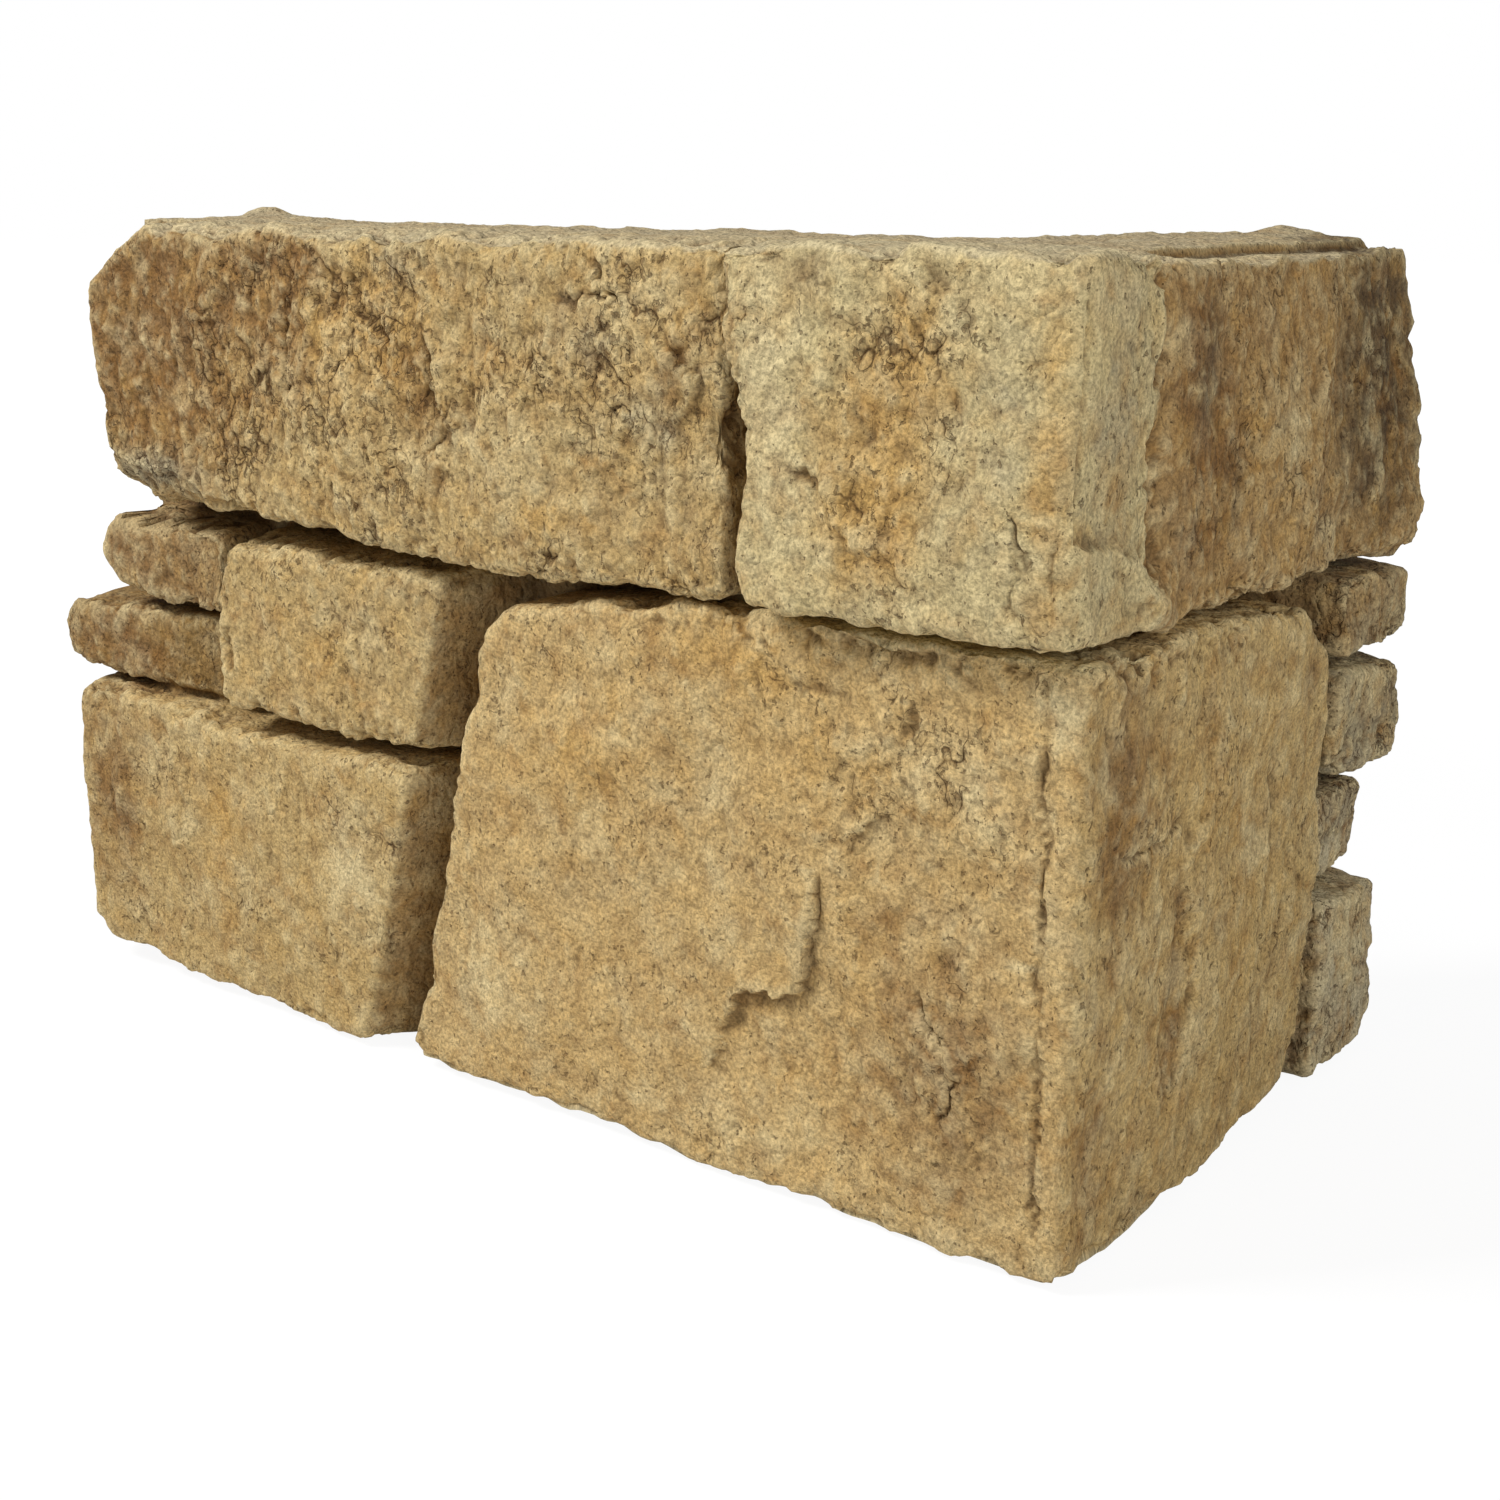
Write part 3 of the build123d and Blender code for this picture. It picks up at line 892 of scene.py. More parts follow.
@dataclass
class Relief:
    """Geometry Nodes that break the smooth faces of the casting, in metres."""

    swell_size: float = 45.0 * MM
    swell_height: float = 7.0 * MM
    rock_size: float = 17.0 * MM
    rock_height: float = 6.0 * MM
    knob_size: float = 8.0 * MM
    knob_height: float = 3.6 * MM
    lump_size: float = 9.0 * MM
    lump_height: float = 4.5 * MM
    crumb_size: float = 4.2 * MM
    crumb_height: float = 1.8 * MM
    crack_depth: float = 0.6 * MM
    crowd_size: float = 16.0 * MM
    chip_size: float = 13.0 * MM
    chip_height: float = 2.8 * MM
    chip_fade: Fade = Fade(0.46, 0.72, 0.0, -1.0)
    lump_floor: float = 0.1
    crumb_lag: float = 0.2
    crack_reach: float = 0.026
    crack_least: float = 0.009
    crack_edge: float = 0.02
    crowd_spread: float = 3.0
    pit_steps: int = 8
    seed: float = 4.0

    SIZES = (
        "swell_size", "swell_height", "rock_size", "rock_height", "knob_size", "knob_height", "lump_size",
        "lump_height", "crumb_size", "crumb_height", "crack_depth", "crowd_size", "chip_size", "chip_height",
    )

    def tree(self, finish: CastStone) -> bpy.types.NodeTree:
        """Build the node tree.

        Args:
            finish: Finish of the casting.

        Returns:
            The tree, with a named input for each size.
        """
        made = bpy.data.node_groups.new("stone_relief", "GeometryNodeTree")
        made.interface.new_socket("Geometry", in_out="INPUT", socket_type="NodeSocketGeometry")
        for name in self.SIZES:
            made.interface.new_socket(name, in_out="INPUT", socket_type="NodeSocketFloat")
        made.interface.new_socket("Geometry", in_out="OUTPUT", socket_type="NodeSocketGeometry")
        w = Wiring(made)
        given = w.node("NodeGroupInput").outputs
        carved = w.node("GeometryNodeSetPosition")
        w.feed(carved.inputs["Geometry"], given["Geometry"])
        w.feed(carved.inputs["Offset"], self.named(w, "carving", "FLOAT_VECTOR"))
        place = w.node("GeometryNodeInputPosition").outputs[0]
        kept = w.node("GeometryNodeStoreNamedAttribute", data_type="FLOAT_VECTOR", domain="POINT")
        w.feed(kept.inputs["Geometry"], carved.outputs[0])
        w.feed(kept.inputs["Name"], "rest")
        w.feed(kept.inputs["Value"], place)
        swell = w.noise(place, given["swell_size"], self.seed, 1.0)
        rock = w.noise(self.tall(w, place), given["rock_size"], self.seed + 1.0, 5.0, 0.62, 0.5)
        knob = w.noise(self.tall(w, place), given["knob_size"], self.seed + 2.0, 3.0, 0.6, 0.4)
        crowd = self.crowd(w, place, self.named(w, Pigment.COARSE.value, "FLOAT"), given["crowd_size"])
        lumps = self.lumps(w, place, given["lump_size"], self.seed + 3.0)
        crumbs = self.lumps(w, place, given["crumb_size"], self.seed + 7.0)
        cracks = self.cracks(w, lumps, crumbs, crowd)
        chip = w.noise(place, given["chip_size"], self.seed + 5.0, 5.0, 0.65)
        parts = (
            (w.math("SUBTRACT", swell, 0.5), given["swell_height"], Mask.DRESSED),
            (w.math("SUBTRACT", rock, 0.5), given["rock_height"], Mask.CRAG),
            (w.math("SUBTRACT", knob, 0.5), given["knob_height"], Mask.GRAIN),
            (w.math("SUBTRACT", lumps, self.lump_floor), given["lump_height"], Mask.CRAG),
            (w.math("SUBTRACT", crumbs, self.lump_floor), given["crumb_height"], Mask.CRAG),
            (w.math("MULTIPLY", cracks, -1.0), given["crack_depth"], Mask.GRAIN),
            (w.ramp(chip, *self.chip_fade), given["chip_height"], Mask.RIM),
        )
        height: object = 0.0
        for shape, size, mask in parts:
            part = w.math("MULTIPLY", w.math("MULTIPLY", shape, size), self.named(w, mask.value, "FLOAT"))
            height = w.math("ADD", part, height)
        broke = w.node("GeometryNodeSetPosition")
        w.feed(broke.inputs["Geometry"], kept.outputs[0])
        w.feed(broke.inputs["Offset"], w.scaled(w.node("GeometryNodeInputNormal").outputs[0], height))
        eased = w.node("GeometryNodeBlurAttribute", data_type="FLOAT_VECTOR")
        w.feed(eased.inputs["Value"], place)
        w.feed(eased.inputs["Iterations"], self.pit_steps)
        pit = w.vector("DOT_PRODUCT", w.vector("SUBTRACT", eased.outputs[0], place),
                       w.node("GeometryNodeInputNormal").outputs[0])
        rest = self.named(w, "rest", "FLOAT_VECTOR")
        rough = self.named(w, Pigment.COARSE.value, "FLOAT")
        worn = self.crowd(w, rest, rough, given["crowd_size"])
        thick = w.node("GeometryNodeStoreNamedAttribute", data_type="FLOAT", domain="POINT")
        w.feed(thick.inputs["Geometry"], broke.outputs[0])
        w.feed(thick.inputs["Name"], "crowd")
        w.feed(thick.inputs["Value"], worn)
        stained = w.node("GeometryNodeStoreNamedAttribute", data_type="FLOAT_COLOR", domain="POINT")
        w.feed(stained.inputs["Geometry"], thick.outputs[0])
        w.feed(stained.inputs["Name"], "tone")
        w.feed(stained.inputs["Value"], finish.stain(w, self.named, worn, w.math("DIVIDE", pit, MM)))
        joined = w.node("GeometryNodeRealizeInstances")
        w.feed(joined.inputs[0], stained.outputs[0])
        dressed = w.node("GeometryNodeSetMaterial")
        w.feed(dressed.inputs["Geometry"], joined.outputs[0])
        dressed.inputs["Material"].default_value = finish.material(self)
        w.feed(w.node("NodeGroupOutput").inputs[0], dressed.outputs[0])
        return made

    @staticmethod
    def tall(w: Wiring, place: object) -> bpy.types.NodeSocket:
        """Places squeezed so that shapes on them come out a little taller than wide."""
        return w.vector("MULTIPLY", place, (1.0, 1.0, 0.8))

    def crowd(self, w: Wiring, place: object, rough: object, size: object) -> bpy.types.NodeSocket:
        """How thickly the cracks lie, alike in the relief and in the finish."""
        cloud = w.math("SUBTRACT", w.noise(place, size, self.seed + 6.0, 4.0, 0.6, 0.5), 0.5)
        return w.math("ADD", rough, w.math("MULTIPLY", cloud, self.crowd_spread))

    def lumps(self, w: Wiring, place: object, size: object, seed: float) -> bpy.types.NodeSocket:
        """Rounded lumps with sharp clefts between them, alike in the relief and in the finish."""
        cloud = w.noise(self.tall(w, place), size, seed, 2.0, 0.5)
        return w.math("ABSOLUTE", w.math("SUBTRACT", cloud, 0.5))

    def cracks(self, w: Wiring, lumps: object, crumbs: object, crowd: object) -> bpy.types.NodeSocket:
        """Thin cracks between lumps and, less often, between crumbs, alike in the relief and in the finish."""
        fewer = w.math("SUBTRACT", crowd, self.crumb_lag)
        return w.math("MAXIMUM", self.clefts(w, lumps, crowd), self.clefts(w, crumbs, fewer))

    def clefts(self, w: Wiring, lumps: object, crowd: object) -> bpy.types.NodeSocket:
        """Thin cracks in the clefts between lumps of one size."""
        reach = w.math("SUBTRACT", w.math("MULTIPLY", crowd, self.crack_reach), self.crack_least)
        return w.ramp(w.math("SUBTRACT", reach, lumps), 0.0, self.crack_edge, 0.0, 1.0)

    @staticmethod
    def named(w: Wiring, name: str, kind: str) -> bpy.types.NodeSocket:
        """Read one of the mesh's attributes.

        Args:
            w: Wiring of the relief.
            name: The attribute's name.
            kind: Blender's name of its kind of value.

        Returns:
            The attribute's output.
        """
        made = w.node("GeometryNodeInputNamedAttribute", data_type=kind)
        w.feed(made.inputs["Name"], name)
        return made.outputs["Attribute"]

    def put_on(self, piece: bpy.types.Object, finish: CastStone) -> None:
        """Add the tree to a piece, with its sizes set.

        Args:
            piece: Object to break.
            finish: Finish of the casting.
        """
        tree = self.tree(finish)
        modifier = piece.modifiers.new("relief", "NODES")
        modifier.node_group = tree
        for item in tree.interface.items_tree:
            if item.in_out == "INPUT" and item.name in self.SIZES:
                modifier[item.identifier] = getattr(self, item.name)


@dataclass(frozen=True)
class Packing:
    """Cement behind the front leg of the top corner stone, between two corners in millimetres."""

    low: tuple[float, float, float] = (-25.0, -38.0, 124.0)
    high: tuple[float, float, float] = (30.0, -28.0, CAD_BOX[1][2] / MM)

    def build(self, mesh: bpy.types.Mesh) -> None:
        """Add the cement to a mesh as a block that runs into its neighbours.

        Args:
            mesh: Mesh that the block joins.
        """
        middle = Vector(self.low).lerp(Vector(self.high), 0.5) * MM
        sides = (Vector(self.high) - Vector(self.low)) * MM
        model = bmesh.new()
        model.from_mesh(mesh)
        bmesh.ops.create_cube(model, size=1.0, matrix=Matrix.LocRotScale(middle, None, sides))
        model.to_mesh(mesh)
        model.free()


class Marks:
    """What shapes and colours each point of the casting, with places and moves in millimetres."""

    def __init__(self, mesh: bpy.types.Mesh) -> None:
        """Read the points of a mesh and start with bare joints.

        Args:
            mesh: Even mesh of the casting.
        """
        count = len(mesh.vertices)
        points = np.empty(count * 3)
        normals = np.empty(count * 3)
        mesh.vertices.foreach_get("co", points)
        mesh.vertex_normals.foreach_get("vector", normals)
        self.points = points.reshape(-1, 3) / MM
        self.normals = normals.reshape(-1, 3)
        self.tone = np.tile(np.array(Tone.JOINT_AND_FLANK_SHADE.value), (count, 1))
        self.carving = np.zeros((count, 3))
        self.masks = {mask: np.zeros(count) for mask in Mask}
        self.stains = {pigment: np.zeros(count) for pigment in Pigment}
        self.stains[Pigment.COARSE] += 0.5

    def write(self, mesh: bpy.types.Mesh) -> None:
        """Keep the marks as attributes of a mesh.

        Args:
            mesh: Mesh that they were read from.
        """
        opaque = np.ones(len(self.tone))
        kept = [(mask.value, "FLOAT", "value", values) for mask, values in self.masks.items()]
        for pigment, values in self.stains.items():
            kept.append((pigment.value, "FLOAT", "value", np.clip(values, 0.0, MOST_STAIN)))
        kept.append(("carving", "FLOAT_VECTOR", "vector", self.carving * MM))
        kept.append(("tone", "FLOAT_COLOR", "color", np.column_stack((self.tone, opaque))))
        for name, kind, field, values in kept:
            held = mesh.attributes.new(name, kind, "POINT")
            held.data.foreach_set(field, values.astype(np.float32).ravel())


@dataclass(frozen=True)
class Wear:
    """How wear, dirt and the painted shade on the stones' flanks spread over the casting, in millimetres or as
    shares.
    """

    fresh_depth: float = 4.0
    worn_depth: float = 16.0
    joint_fade: float = 8.0
    rim_width: float = 7.0
    flank_turn: Point = (0.45, 0.9)
    flank_clear: float = 24.0
    # Share of painted shade, in the colour of the joints, on stone flanks that turn along the face.
    flank_painted_shade: float = 0.75
    edge_band: Point = (1.0, 10.0)
    edge_clear: float = 12.0
    edge_sway: float = 0.5
    foot_height: float = 9.0
    foot_band: Point = (2.0, 12.0)
    foot_wear: float = 0.8
    foot_base: float = 0.8
    foot_most: float = 3.0
    uneven_band: Point = (0.6, 1.5)
    dressed_turned: float = 0.4
    dressed_smooth: float = 0.6
    dressed_gain: float = 0.6
    crag_turned: float = 0.45
    crag_smooth: float = 0.2
    grain_sunk: float = 0.35
    side_mottling: float = 1.2
    plain_grain: float = 0.3
    top_grain: float = 0.8
    top_crag: float = 0.4
    top_lime: float = 0.75
    top_stains: float = 0.3
    top_mottling: float = 0.6


class Survey:
    """The points of one dressed face, measured against its stones."""

    def __init__(self, face: Face, here: np.ndarray, marks: Marks, wear: Wear, backing: float) -> None:
        """Measure the points.

        Args:
            face: Which face it is.
            here: Which points belong to it.
            marks: Marks that hold the points.
            wear: How wear spreads over the stones.
            backing: Thickness of the backing.
        """
        spot = marks.points[here]
        normals = marks.normals[here]
        self.face = face
        self.here = here
        self.u = spot[:, face.across]
        self.v = spot[:, 2]
        self.stones = [stone for stone in STONES if stone.face is face]
        gaps = np.array([stone.outside(self.u, self.v) for stone in self.stones])
        self.owner = gaps.argmin(axis=0)
        self.inside = -gaps.min(axis=0)
        self.rough = self.of_stone("rough")
        stand_out = self.of_stone("stand_out")
        self.depth = stand_out - face.standing(spot)
        self.near = 1.0 - smooth(wear.fresh_depth, wear.worn_depth, self.depth)
        self.stony = 1.0 - smooth(stand_out - backing - wear.joint_fade, stand_out - backing, self.depth)
        self.flat = np.clip(np.abs(normals @ face.outward), 0.0, 1.0)
        self.turned = np.abs(normals[:, face.across])
        self.from_arris = np.abs(self.u - face.arris)

    def of_stone(self, field: str) -> np.ndarray:
        """One of the fields of each point's own stone."""
        return np.array([getattr(stone, field) for stone in self.stones])[self.owner]


def at_least(least: float, share: np.ndarray) -> np.ndarray:
    """Squeeze shares from 0 to 1 so that they start at a least value."""
    return least + (1.0 - least) * share


@dataclass
class VeneerCorner:
    """The whole casting: backing and stones in one piece, in millimetres but for the voxel's metres."""

    packing: Packing = Packing()
    wear: Wear = Wear()
    voxel: float = 0.8 * MM
    most_triangles: int = 190_000
    sharp_angle: float = math.radians(65.0)
    backing: float = 32.0
    root: float = 6.0
    skin: float = 2.0
    top_level: float = 196.0
    bed_level: float = 1.5
    square_on: float = 0.7
    level_on: float = 0.8

    def build(self, relief: Relief, finish: CastStone) -> bpy.types.Object:
        """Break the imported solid's faces and colour them.

        Args:
            relief: Relief of the stones.
            finish: Finish of the casting.

        Returns:
            The finished piece.
        """
        piece = bpy.data.objects.new(NODE + "_stone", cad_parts[NODE].data.copy())
        bpy.context.scene.collection.objects.link(piece)
        self.packing.build(piece.data)
        self.refine(piece)
        self.mark(piece.data)
        relief.put_on(piece, finish)
        self.bake(piece)
        self.stand(piece.data)
        thin = piece.modifiers.new("thin", "DECIMATE")
        thin.ratio = min(1.0, self.most_triangles / (2.0 * len(piece.data.polygons)))
        self.bake(piece)
        piece.data.shade_smooth()
        piece.data.set_sharp_from_angle(angle=self.sharp_angle)
        return piece

    def refine(self, piece: bpy.types.Object) -> None:
        """Merge the copied triangles and turn them into an even, dense mesh.

        Args:
            piece: Object that holds them.
        """
        weld = piece.modifiers.new("weld", "WELD")
        weld.merge_threshold = WELD_GAP
        even = piece.modifiers.new("even", "REMESH")
        even.mode = "VOXEL"
        even.voxel_size = self.voxel * 1.0
        self.bake(piece)

    @staticmethod
    def bake(piece: bpy.types.Object) -> None:
        """Replace a piece's mesh by what its modifiers make of it, and remove them.

        Args:
            piece: Object with the modifiers.
        """
        shown = piece.evaluated_get(bpy.context.evaluated_depsgraph_get())
        mesh = bpy.data.meshes.new_from_object(shown)
        piece.modifiers.clear()
        piece.data = mesh
        mesh.name = piece.name

    @staticmethod
    def stand(mesh: bpy.types.Mesh) -> None:
        """Keep the bed face flat on the ground.

        Args:
            mesh: Mesh of the casting.
        """
        points = np.empty(len(mesh.vertices) * 3, np.float32)
        mesh.vertices.foreach_get("co", points)
        points = points.reshape(-1, 3)
        points[:, 2] = np.maximum(points[:, 2], 0.0)
        mesh.vertices.foreach_set("co", points.ravel())
        mesh.update()

    def mark(self, mesh: bpy.types.Mesh) -> None:
        """Write the attributes that shape and colour the mesh.

        Args:
            mesh: Even mesh of the casting.
        """
        marks = Marks(mesh)
        facing = self.facing(marks.points, marks.normals)
        for face in Face:
            survey = Survey(face, facing == face.across, marks, self.wear, self.backing)
            self.colour(survey, marks)
            self.roughen(survey, marks)
            self.carve(survey, marks)
        self.mark_backs(marks)
        self.mark_top(marks)
        marks.write(mesh)

    def facing(self, points: np.ndarray, normals: np.ndarray) -> np.ndarray:
        """Tell which dressed face each point belongs to.

        Args:
            points: Places in millimetres.
            normals: Directions of the surface.

        Returns:
            The across axis of that face, and 2 for the backs.
        """
        ahead = -points[:, 1]
        aside = points[:, 0]
        seat = self.backing - self.root
        fore = self.backing - self.skin
        wedge = (ahead >= fore) & (aside >= fore)
        level = np.abs(normals[:, 2]) > self.level_on
        by_normal = np.where(level, ahead - aside, -normals[:, 1] - normals[:, 0])
        result = np.full(len(points), 2)
        result[(aside > seat) & (ahead < fore)] = Face.SIDE.across
        result[(ahead > seat) & (aside < fore)] = Face.FRONT.across
        result[wedge & (by_normal >= 0.0)] = Face.FRONT.across
        result[wedge & (by_normal < 0.0)] = Face.SIDE.across
        return result

    def colour(self, survey: Survey, marks: Marks) -> None:
        """Fill in the ground colours and the stains of one dressed face, and the painted shade on its stones'
        flanks.

        Args:
            survey: Points of the face.
            marks: Marks to fill in.
        """
        here, wear = survey.here, self.wear
        flank_shade_colour = np.array(Tone.JOINT_AND_FLANK_SHADE.value)
        grounds = np.array([stone.tone.value for stone in survey.stones])[survey.owner]
        ground = marks.tone[here] + (grounds - marks.tone[here]) * survey.stony[:, None]
        # Painted shade: flanks that turn along the face are darkened towards the colour of the joints.
        turned = smooth(*wear.flank_turn, survey.turned)
        flank = turned * (survey.from_arris > wear.flank_clear) * wear.flank_painted_shade
        marks.tone[here] = ground + (flank_shade_colour - ground) * flank[:, None]
        marks.stains[Pigment.COARSE][here] = survey.rough
        for patch in STAINS:
            if patch.face is survey.face:
                marks.stains[patch.pigment][here] += patch.weight(survey.u, survey.v) * survey.stony

    def roughen(self, survey: Survey, marks: Marks) -> None:
        """Fill in how strongly the relief breaks one dressed face.

        Args:
            survey: Points of the face.
            marks: Marks to fill in, with the stains of the face in them.
        """
        here, near, flat, wear = survey.here, survey.near, survey.flat, self.wear
        broken = wear.dressed_smooth + wear.dressed_gain * survey.rough
        coarse = at_least(wear.crag_smooth, marks.stains[Pigment.COARSE][here])
        rim = 1.0 - smooth(0.0, wear.rim_width, survey.inside)
        marks.masks[Mask.DRESSED][here] = near * at_least(wear.dressed_turned, flat) * broken
        marks.masks[Mask.CRAG][here] = coarse * near * at_least(wear.crag_turned, flat)
        marks.masks[Mask.GRAIN][here] = survey.of_stone("grain") * at_least(wear.grain_sunk, near)
        marks.masks[Mask.RIM][here] = near * rim
        marks.masks[Mask.WEATHERED][here] = 1.0 if survey.face is Face.FRONT else wear.side_mottling

    def carve(self, survey: Survey, marks: Marks) -> None:
        """Fill in the listed features, the wavy outlines and the ragged foot of one dressed face.

        Args:
            survey: Points of the face.
            marks: Marks to fill in.
        """
        face, wear, near = survey.face, self.wear, survey.near
        u, v, depth = survey.u, survey.v, survey.depth
        waver_u, waver_v = u.copy(), v.copy()
        for wave in WAVER:
            waver_u += wave.over(u, v)
            waver_v += wave.over(u, v, 1)
        height = np.zeros(len(u))
        uneven = np.clip(1.0 + UNEVEN.over(u, v), *wear.uneven_band)
        for feature in CARVING:
            if feature.face is face:
                part = feature.height(waver_u, waver_v)
                height += part * uneven if isinstance(feature, (Flake, Crease)) else part
        moved = (height * near)[:, None] * face.outward
        edge = near * (1.0 - smooth(*wear.edge_band, survey.inside)) * (survey.from_arris > wear.edge_clear)
        for place in range(len(survey.stones)):
            own = survey.owner == place
            fine = OUTLINE_FINE.over(u[own], v[own], place)
            for axis in (face.across, 2):
                waves = OUTLINE.over(u[own], v[own], 2 * place + axis) + fine
                moved[own, axis] += wear.edge_sway * waves * edge[own]
        ragged = wear.foot_base + FOOT.over(u, depth) + FOOT_FINE.over(u, depth)
        ragged = np.clip(ragged, 0.0, wear.foot_most)
        low = (1.0 - smooth(0.0, wear.foot_height, v)) * (1.0 - smooth(*wear.foot_band, depth))
        lifted = np.maximum(moved[:, 2], 0.0) * low
        moved[:, 2] = lifted + moved[:, 2] * (1.0 - low) + wear.foot_wear * ragged * low
        marks.carving[survey.here] = moved

    def mark_backs(self, marks: Marks) -> None:
        """Leave the wall faces, the backing's ends and the bed face plain cement, and the top pale.

        Args:
            marks: Marks to fill in.
        """
        points, normals, wear = marks.points, marks.normals, self.wear
        fore = self.backing - self.skin
        behind = (normals[:, 1] > self.square_on) & (points[:, 0] < fore)
        beside = (normals[:, 0] < -self.square_on) & (points[:, 1] > -fore)
        plain = behind | beside
        level = np.abs(normals[:, 2]) > self.square_on
        top = level & (points[:, 2] > self.top_level)
        bed = level & (points[:, 2] < self.bed_level)
        marks.tone[plain | bed] = Tone.CEMENT.value
        lime = wear.top_lime * np.array(Tone.LIME.value)
        marks.tone[top] = (1.0 - wear.top_lime) * marks.tone[top] + lime
        for values in (*marks.masks.values(), *marks.stains.values()):
            values[plain | bed] = 0.0
        marks.masks[Mask.GRAIN][plain] = wear.plain_grain
        marks.masks[Mask.GRAIN][top] = wear.top_grain
        marks.masks[Mask.CRAG][top] *= wear.top_crag

    def mark_top(self, marks: Marks) -> None:
        """Lay spilt cement on the top, and thin its stains and its mottling.

        Args:
            marks: Marks to fill in.
        """
        points = marks.points
        on_top = (marks.normals[:, 2] > self.square_on) & (points[:, 2] > self.top_level)
        for lump in LUMPS:
            marks.carving[on_top, 2] += lump.height(points[on_top])
        for pigment in (Pigment.OCHRE, Pigment.BROWN, Pigment.COARSE):
            marks.stains[pigment][on_top] *= self.wear.top_stains
        marks.masks[Mask.WEATHERED][on_top] = self.wear.top_mottling


@dataclass(frozen=True)
class PhotoCamera:
    """The camera that stands before the corner, in degrees and metres."""

    azimuth: float = 36.76
    pitch: float = 15.51
    roll: float = 0.58
    place: tuple[float, float, float] = (0.2271, -0.3849, 0.2140)
    lens: float = 49.03
    sensor: float = 36.0
    nearest: float = 0.01

    def build(self) -> bpy.types.Object:
        """Make the camera and use it.

        Returns:
            The camera's object.
        """
        turn, tilt, lean = (math.radians(angle) for angle in (self.azimuth, self.pitch, self.roll))
        level = Vector((-math.sin(turn), math.cos(turn), 0.0))
        right = Vector((math.cos(turn), math.sin(turn), 0.0))
        up = Vector((0.0, 0.0, 1.0))
        ahead = level * math.cos(tilt) - up * math.sin(tilt)
        above = level * math.sin(tilt) + up * math.cos(tilt)
        side = right * math.cos(lean) + above * math.sin(lean)
        head = above * math.cos(lean) - right * math.sin(lean)
        data = bpy.data.cameras.new("camera")
        data.lens = self.lens
        data.sensor_width = self.sensor
        data.clip_start = self.nearest
        camera = bpy.data.objects.new("camera", data)
        camera.matrix_world = Matrix((side, head, -ahead)).transposed().to_4x4()
        camera.location = self.place
        bpy.context.scene.collection.objects.link(camera)
        bpy.context.scene.camera = camera
        return camera


@dataclass(frozen=True)
class Lamp:
    """A soft square lamp that points at the corner."""

    name: str
    place: tuple[float, float, float]
    size: float
    power: float
    aim: tuple[float, float, float] = (0.0, 0.0, 0.1)

    def build(self) -> None:
        """Make the lamp."""
        data = bpy.data.lights.new(self.name, "AREA")
        data.size = self.size
        data.energy = self.power
        lamp = bpy.data.objects.new(self.name, data)
        lamp.location = self.place
        towards = Vector(self.aim) - lamp.location
        lamp.rotation_euler = towards.to_track_quat("-Z", "Y").to_euler()
        bpy.context.scene.collection.objects.link(lamp)


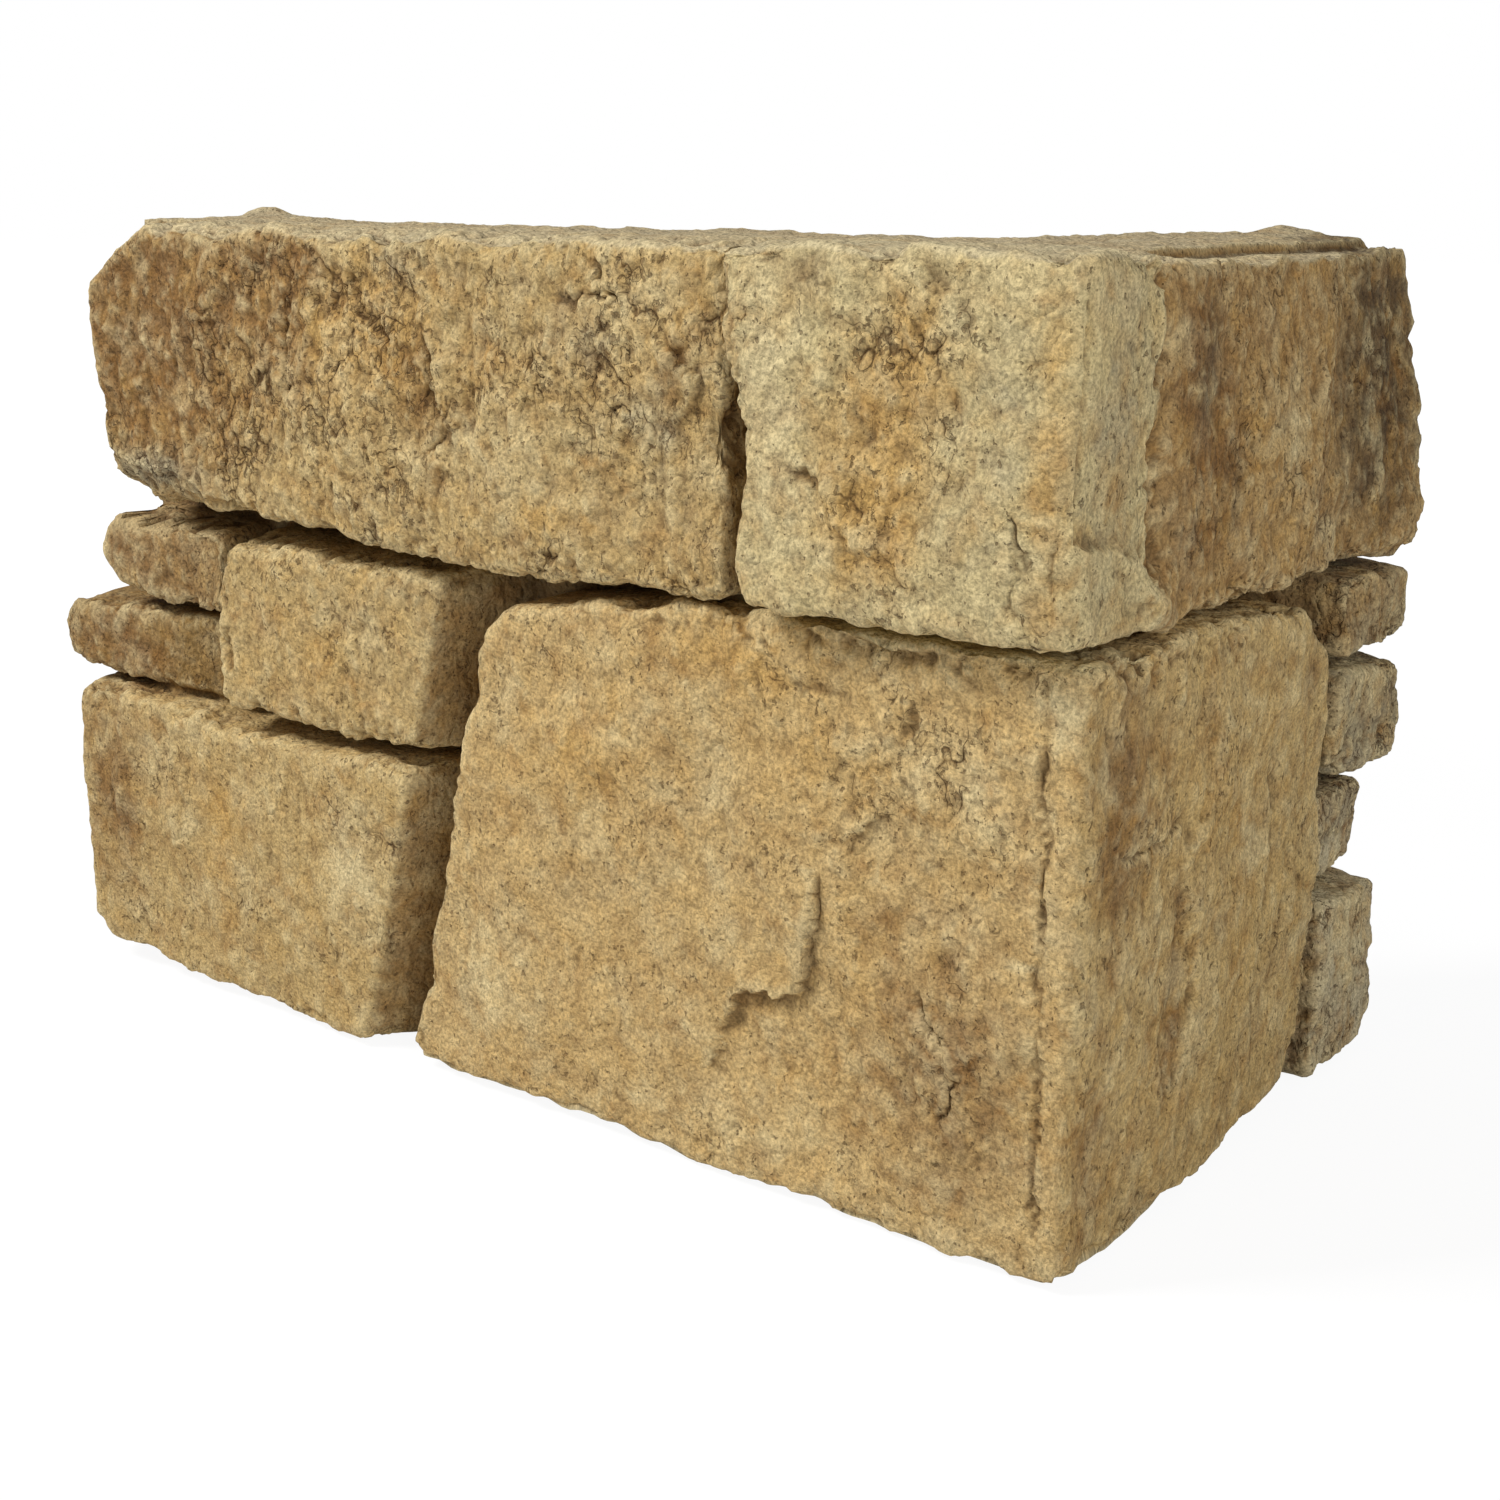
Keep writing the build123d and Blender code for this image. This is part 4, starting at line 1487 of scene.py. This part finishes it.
@dataclass(frozen=True)
class Studio:
    """A white floor, a white surround and soft lamps."""

    floor_half: float = 6.0
    fill: float = 0.26
    paper_shade: Colour = (0.8, 0.8, 0.8)
    paper_glow: float = 1.06
    shadow_fade: Fade = Fade(0.3, 0.9, 0.87, 1.0)
    lamps: tuple[Lamp, ...] = (
        Lamp("key", (-0.75, -0.75, 1.15), 0.35, 17.0),
        Lamp("side_fill", (1.2, -0.6, 0.7), 0.7, 8.0),
    )

    def build(self) -> bpy.types.Object:
        """Make the floor, the surround and the lamps.

        Returns:
            The floor's object.
        """
        for lamp in self.lamps:
            lamp.build()
        world = bpy.data.worlds.new("studio")
        world.use_nodes = True
        bpy.context.scene.world = world
        w = Wiring(world.node_tree)
        seen = w.node("ShaderNodeLightPath").outputs["Is Camera Ray"]
        sky = w.node("ShaderNodeBackground")
        w.feed(sky.inputs["Color"], (1.0, 1.0, 1.0, 1.0))
        w.feed(sky.inputs["Strength"], w.ramp(seen, 0.0, 1.0, self.fill, 1.0))
        w.feed(w.node("ShaderNodeOutputWorld").inputs[0], sky.outputs[0])
        half = self.floor_half
        mesh = bpy.data.meshes.new("floor")
        corners = [(-half, -half, 0.0), (half, -half, 0.0), (half, half, 0.0), (-half, half, 0.0)]
        mesh.from_pydata(corners, [], [(0, 1, 2, 3)])
        floor = bpy.data.objects.new("floor", mesh)
        mesh.materials.append(self.paper())
        bpy.context.scene.collection.objects.link(floor)
        return floor

    def paper(self) -> bpy.types.Material:
        """White paper that shows white to the camera and keeps a soft shadow.

        Returns:
            The new material.
        """
        made = bpy.data.materials.new("paper")
        made.use_nodes = True
        w = Wiring(made.node_tree)
        matt = w.node("ShaderNodeBsdfDiffuse")
        w.feed(matt.inputs["Color"], (*self.paper_shade, 1.0))
        glow = w.node("ShaderNodeEmission")
        w.feed(glow.inputs["Color"], (1.0, 1.0, 1.0, 1.0))
        w.feed(glow.inputs["Strength"], self.paper_glow)
        mix = w.node("ShaderNodeMixShader")
        seen = w.node("ShaderNodeLightPath").outputs["Is Camera Ray"]
        away = w.node("ShaderNodeVectorMath", operation="LENGTH")
        w.feed(away.inputs[0], w.node("ShaderNodeTexCoord").outputs["Object"])
        faded = w.ramp(away.outputs["Value"], *self.shadow_fade)
        w.feed(mix.inputs[0], w.math("MULTIPLY", seen, faded))
        w.feed(mix.inputs[1], matt.outputs[0])
        w.feed(mix.inputs[2], glow.outputs[0])
        w.feed(w.node("ShaderNodeOutputMaterial").inputs[0], mix.outputs[0])
        return made


def main() -> None:
    """Build the camera, the studio and the casting."""
    logging.basicConfig(level=logging.INFO, format="%(message)s")
    bpy.context.scene.view_settings.view_transform = "Standard"
    PhotoCamera().build()
    Studio().build()
    piece = VeneerCorner().build(Relief(), CastStone())
    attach(piece, "root")
    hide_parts(NODE)
    log.info("%s: %d faces", piece.name, len(piece.data.polygons))
    log.info("stones: %s", ", ".join(stone.name for stone in STONES))


if __name__ == "__main__":
    main()
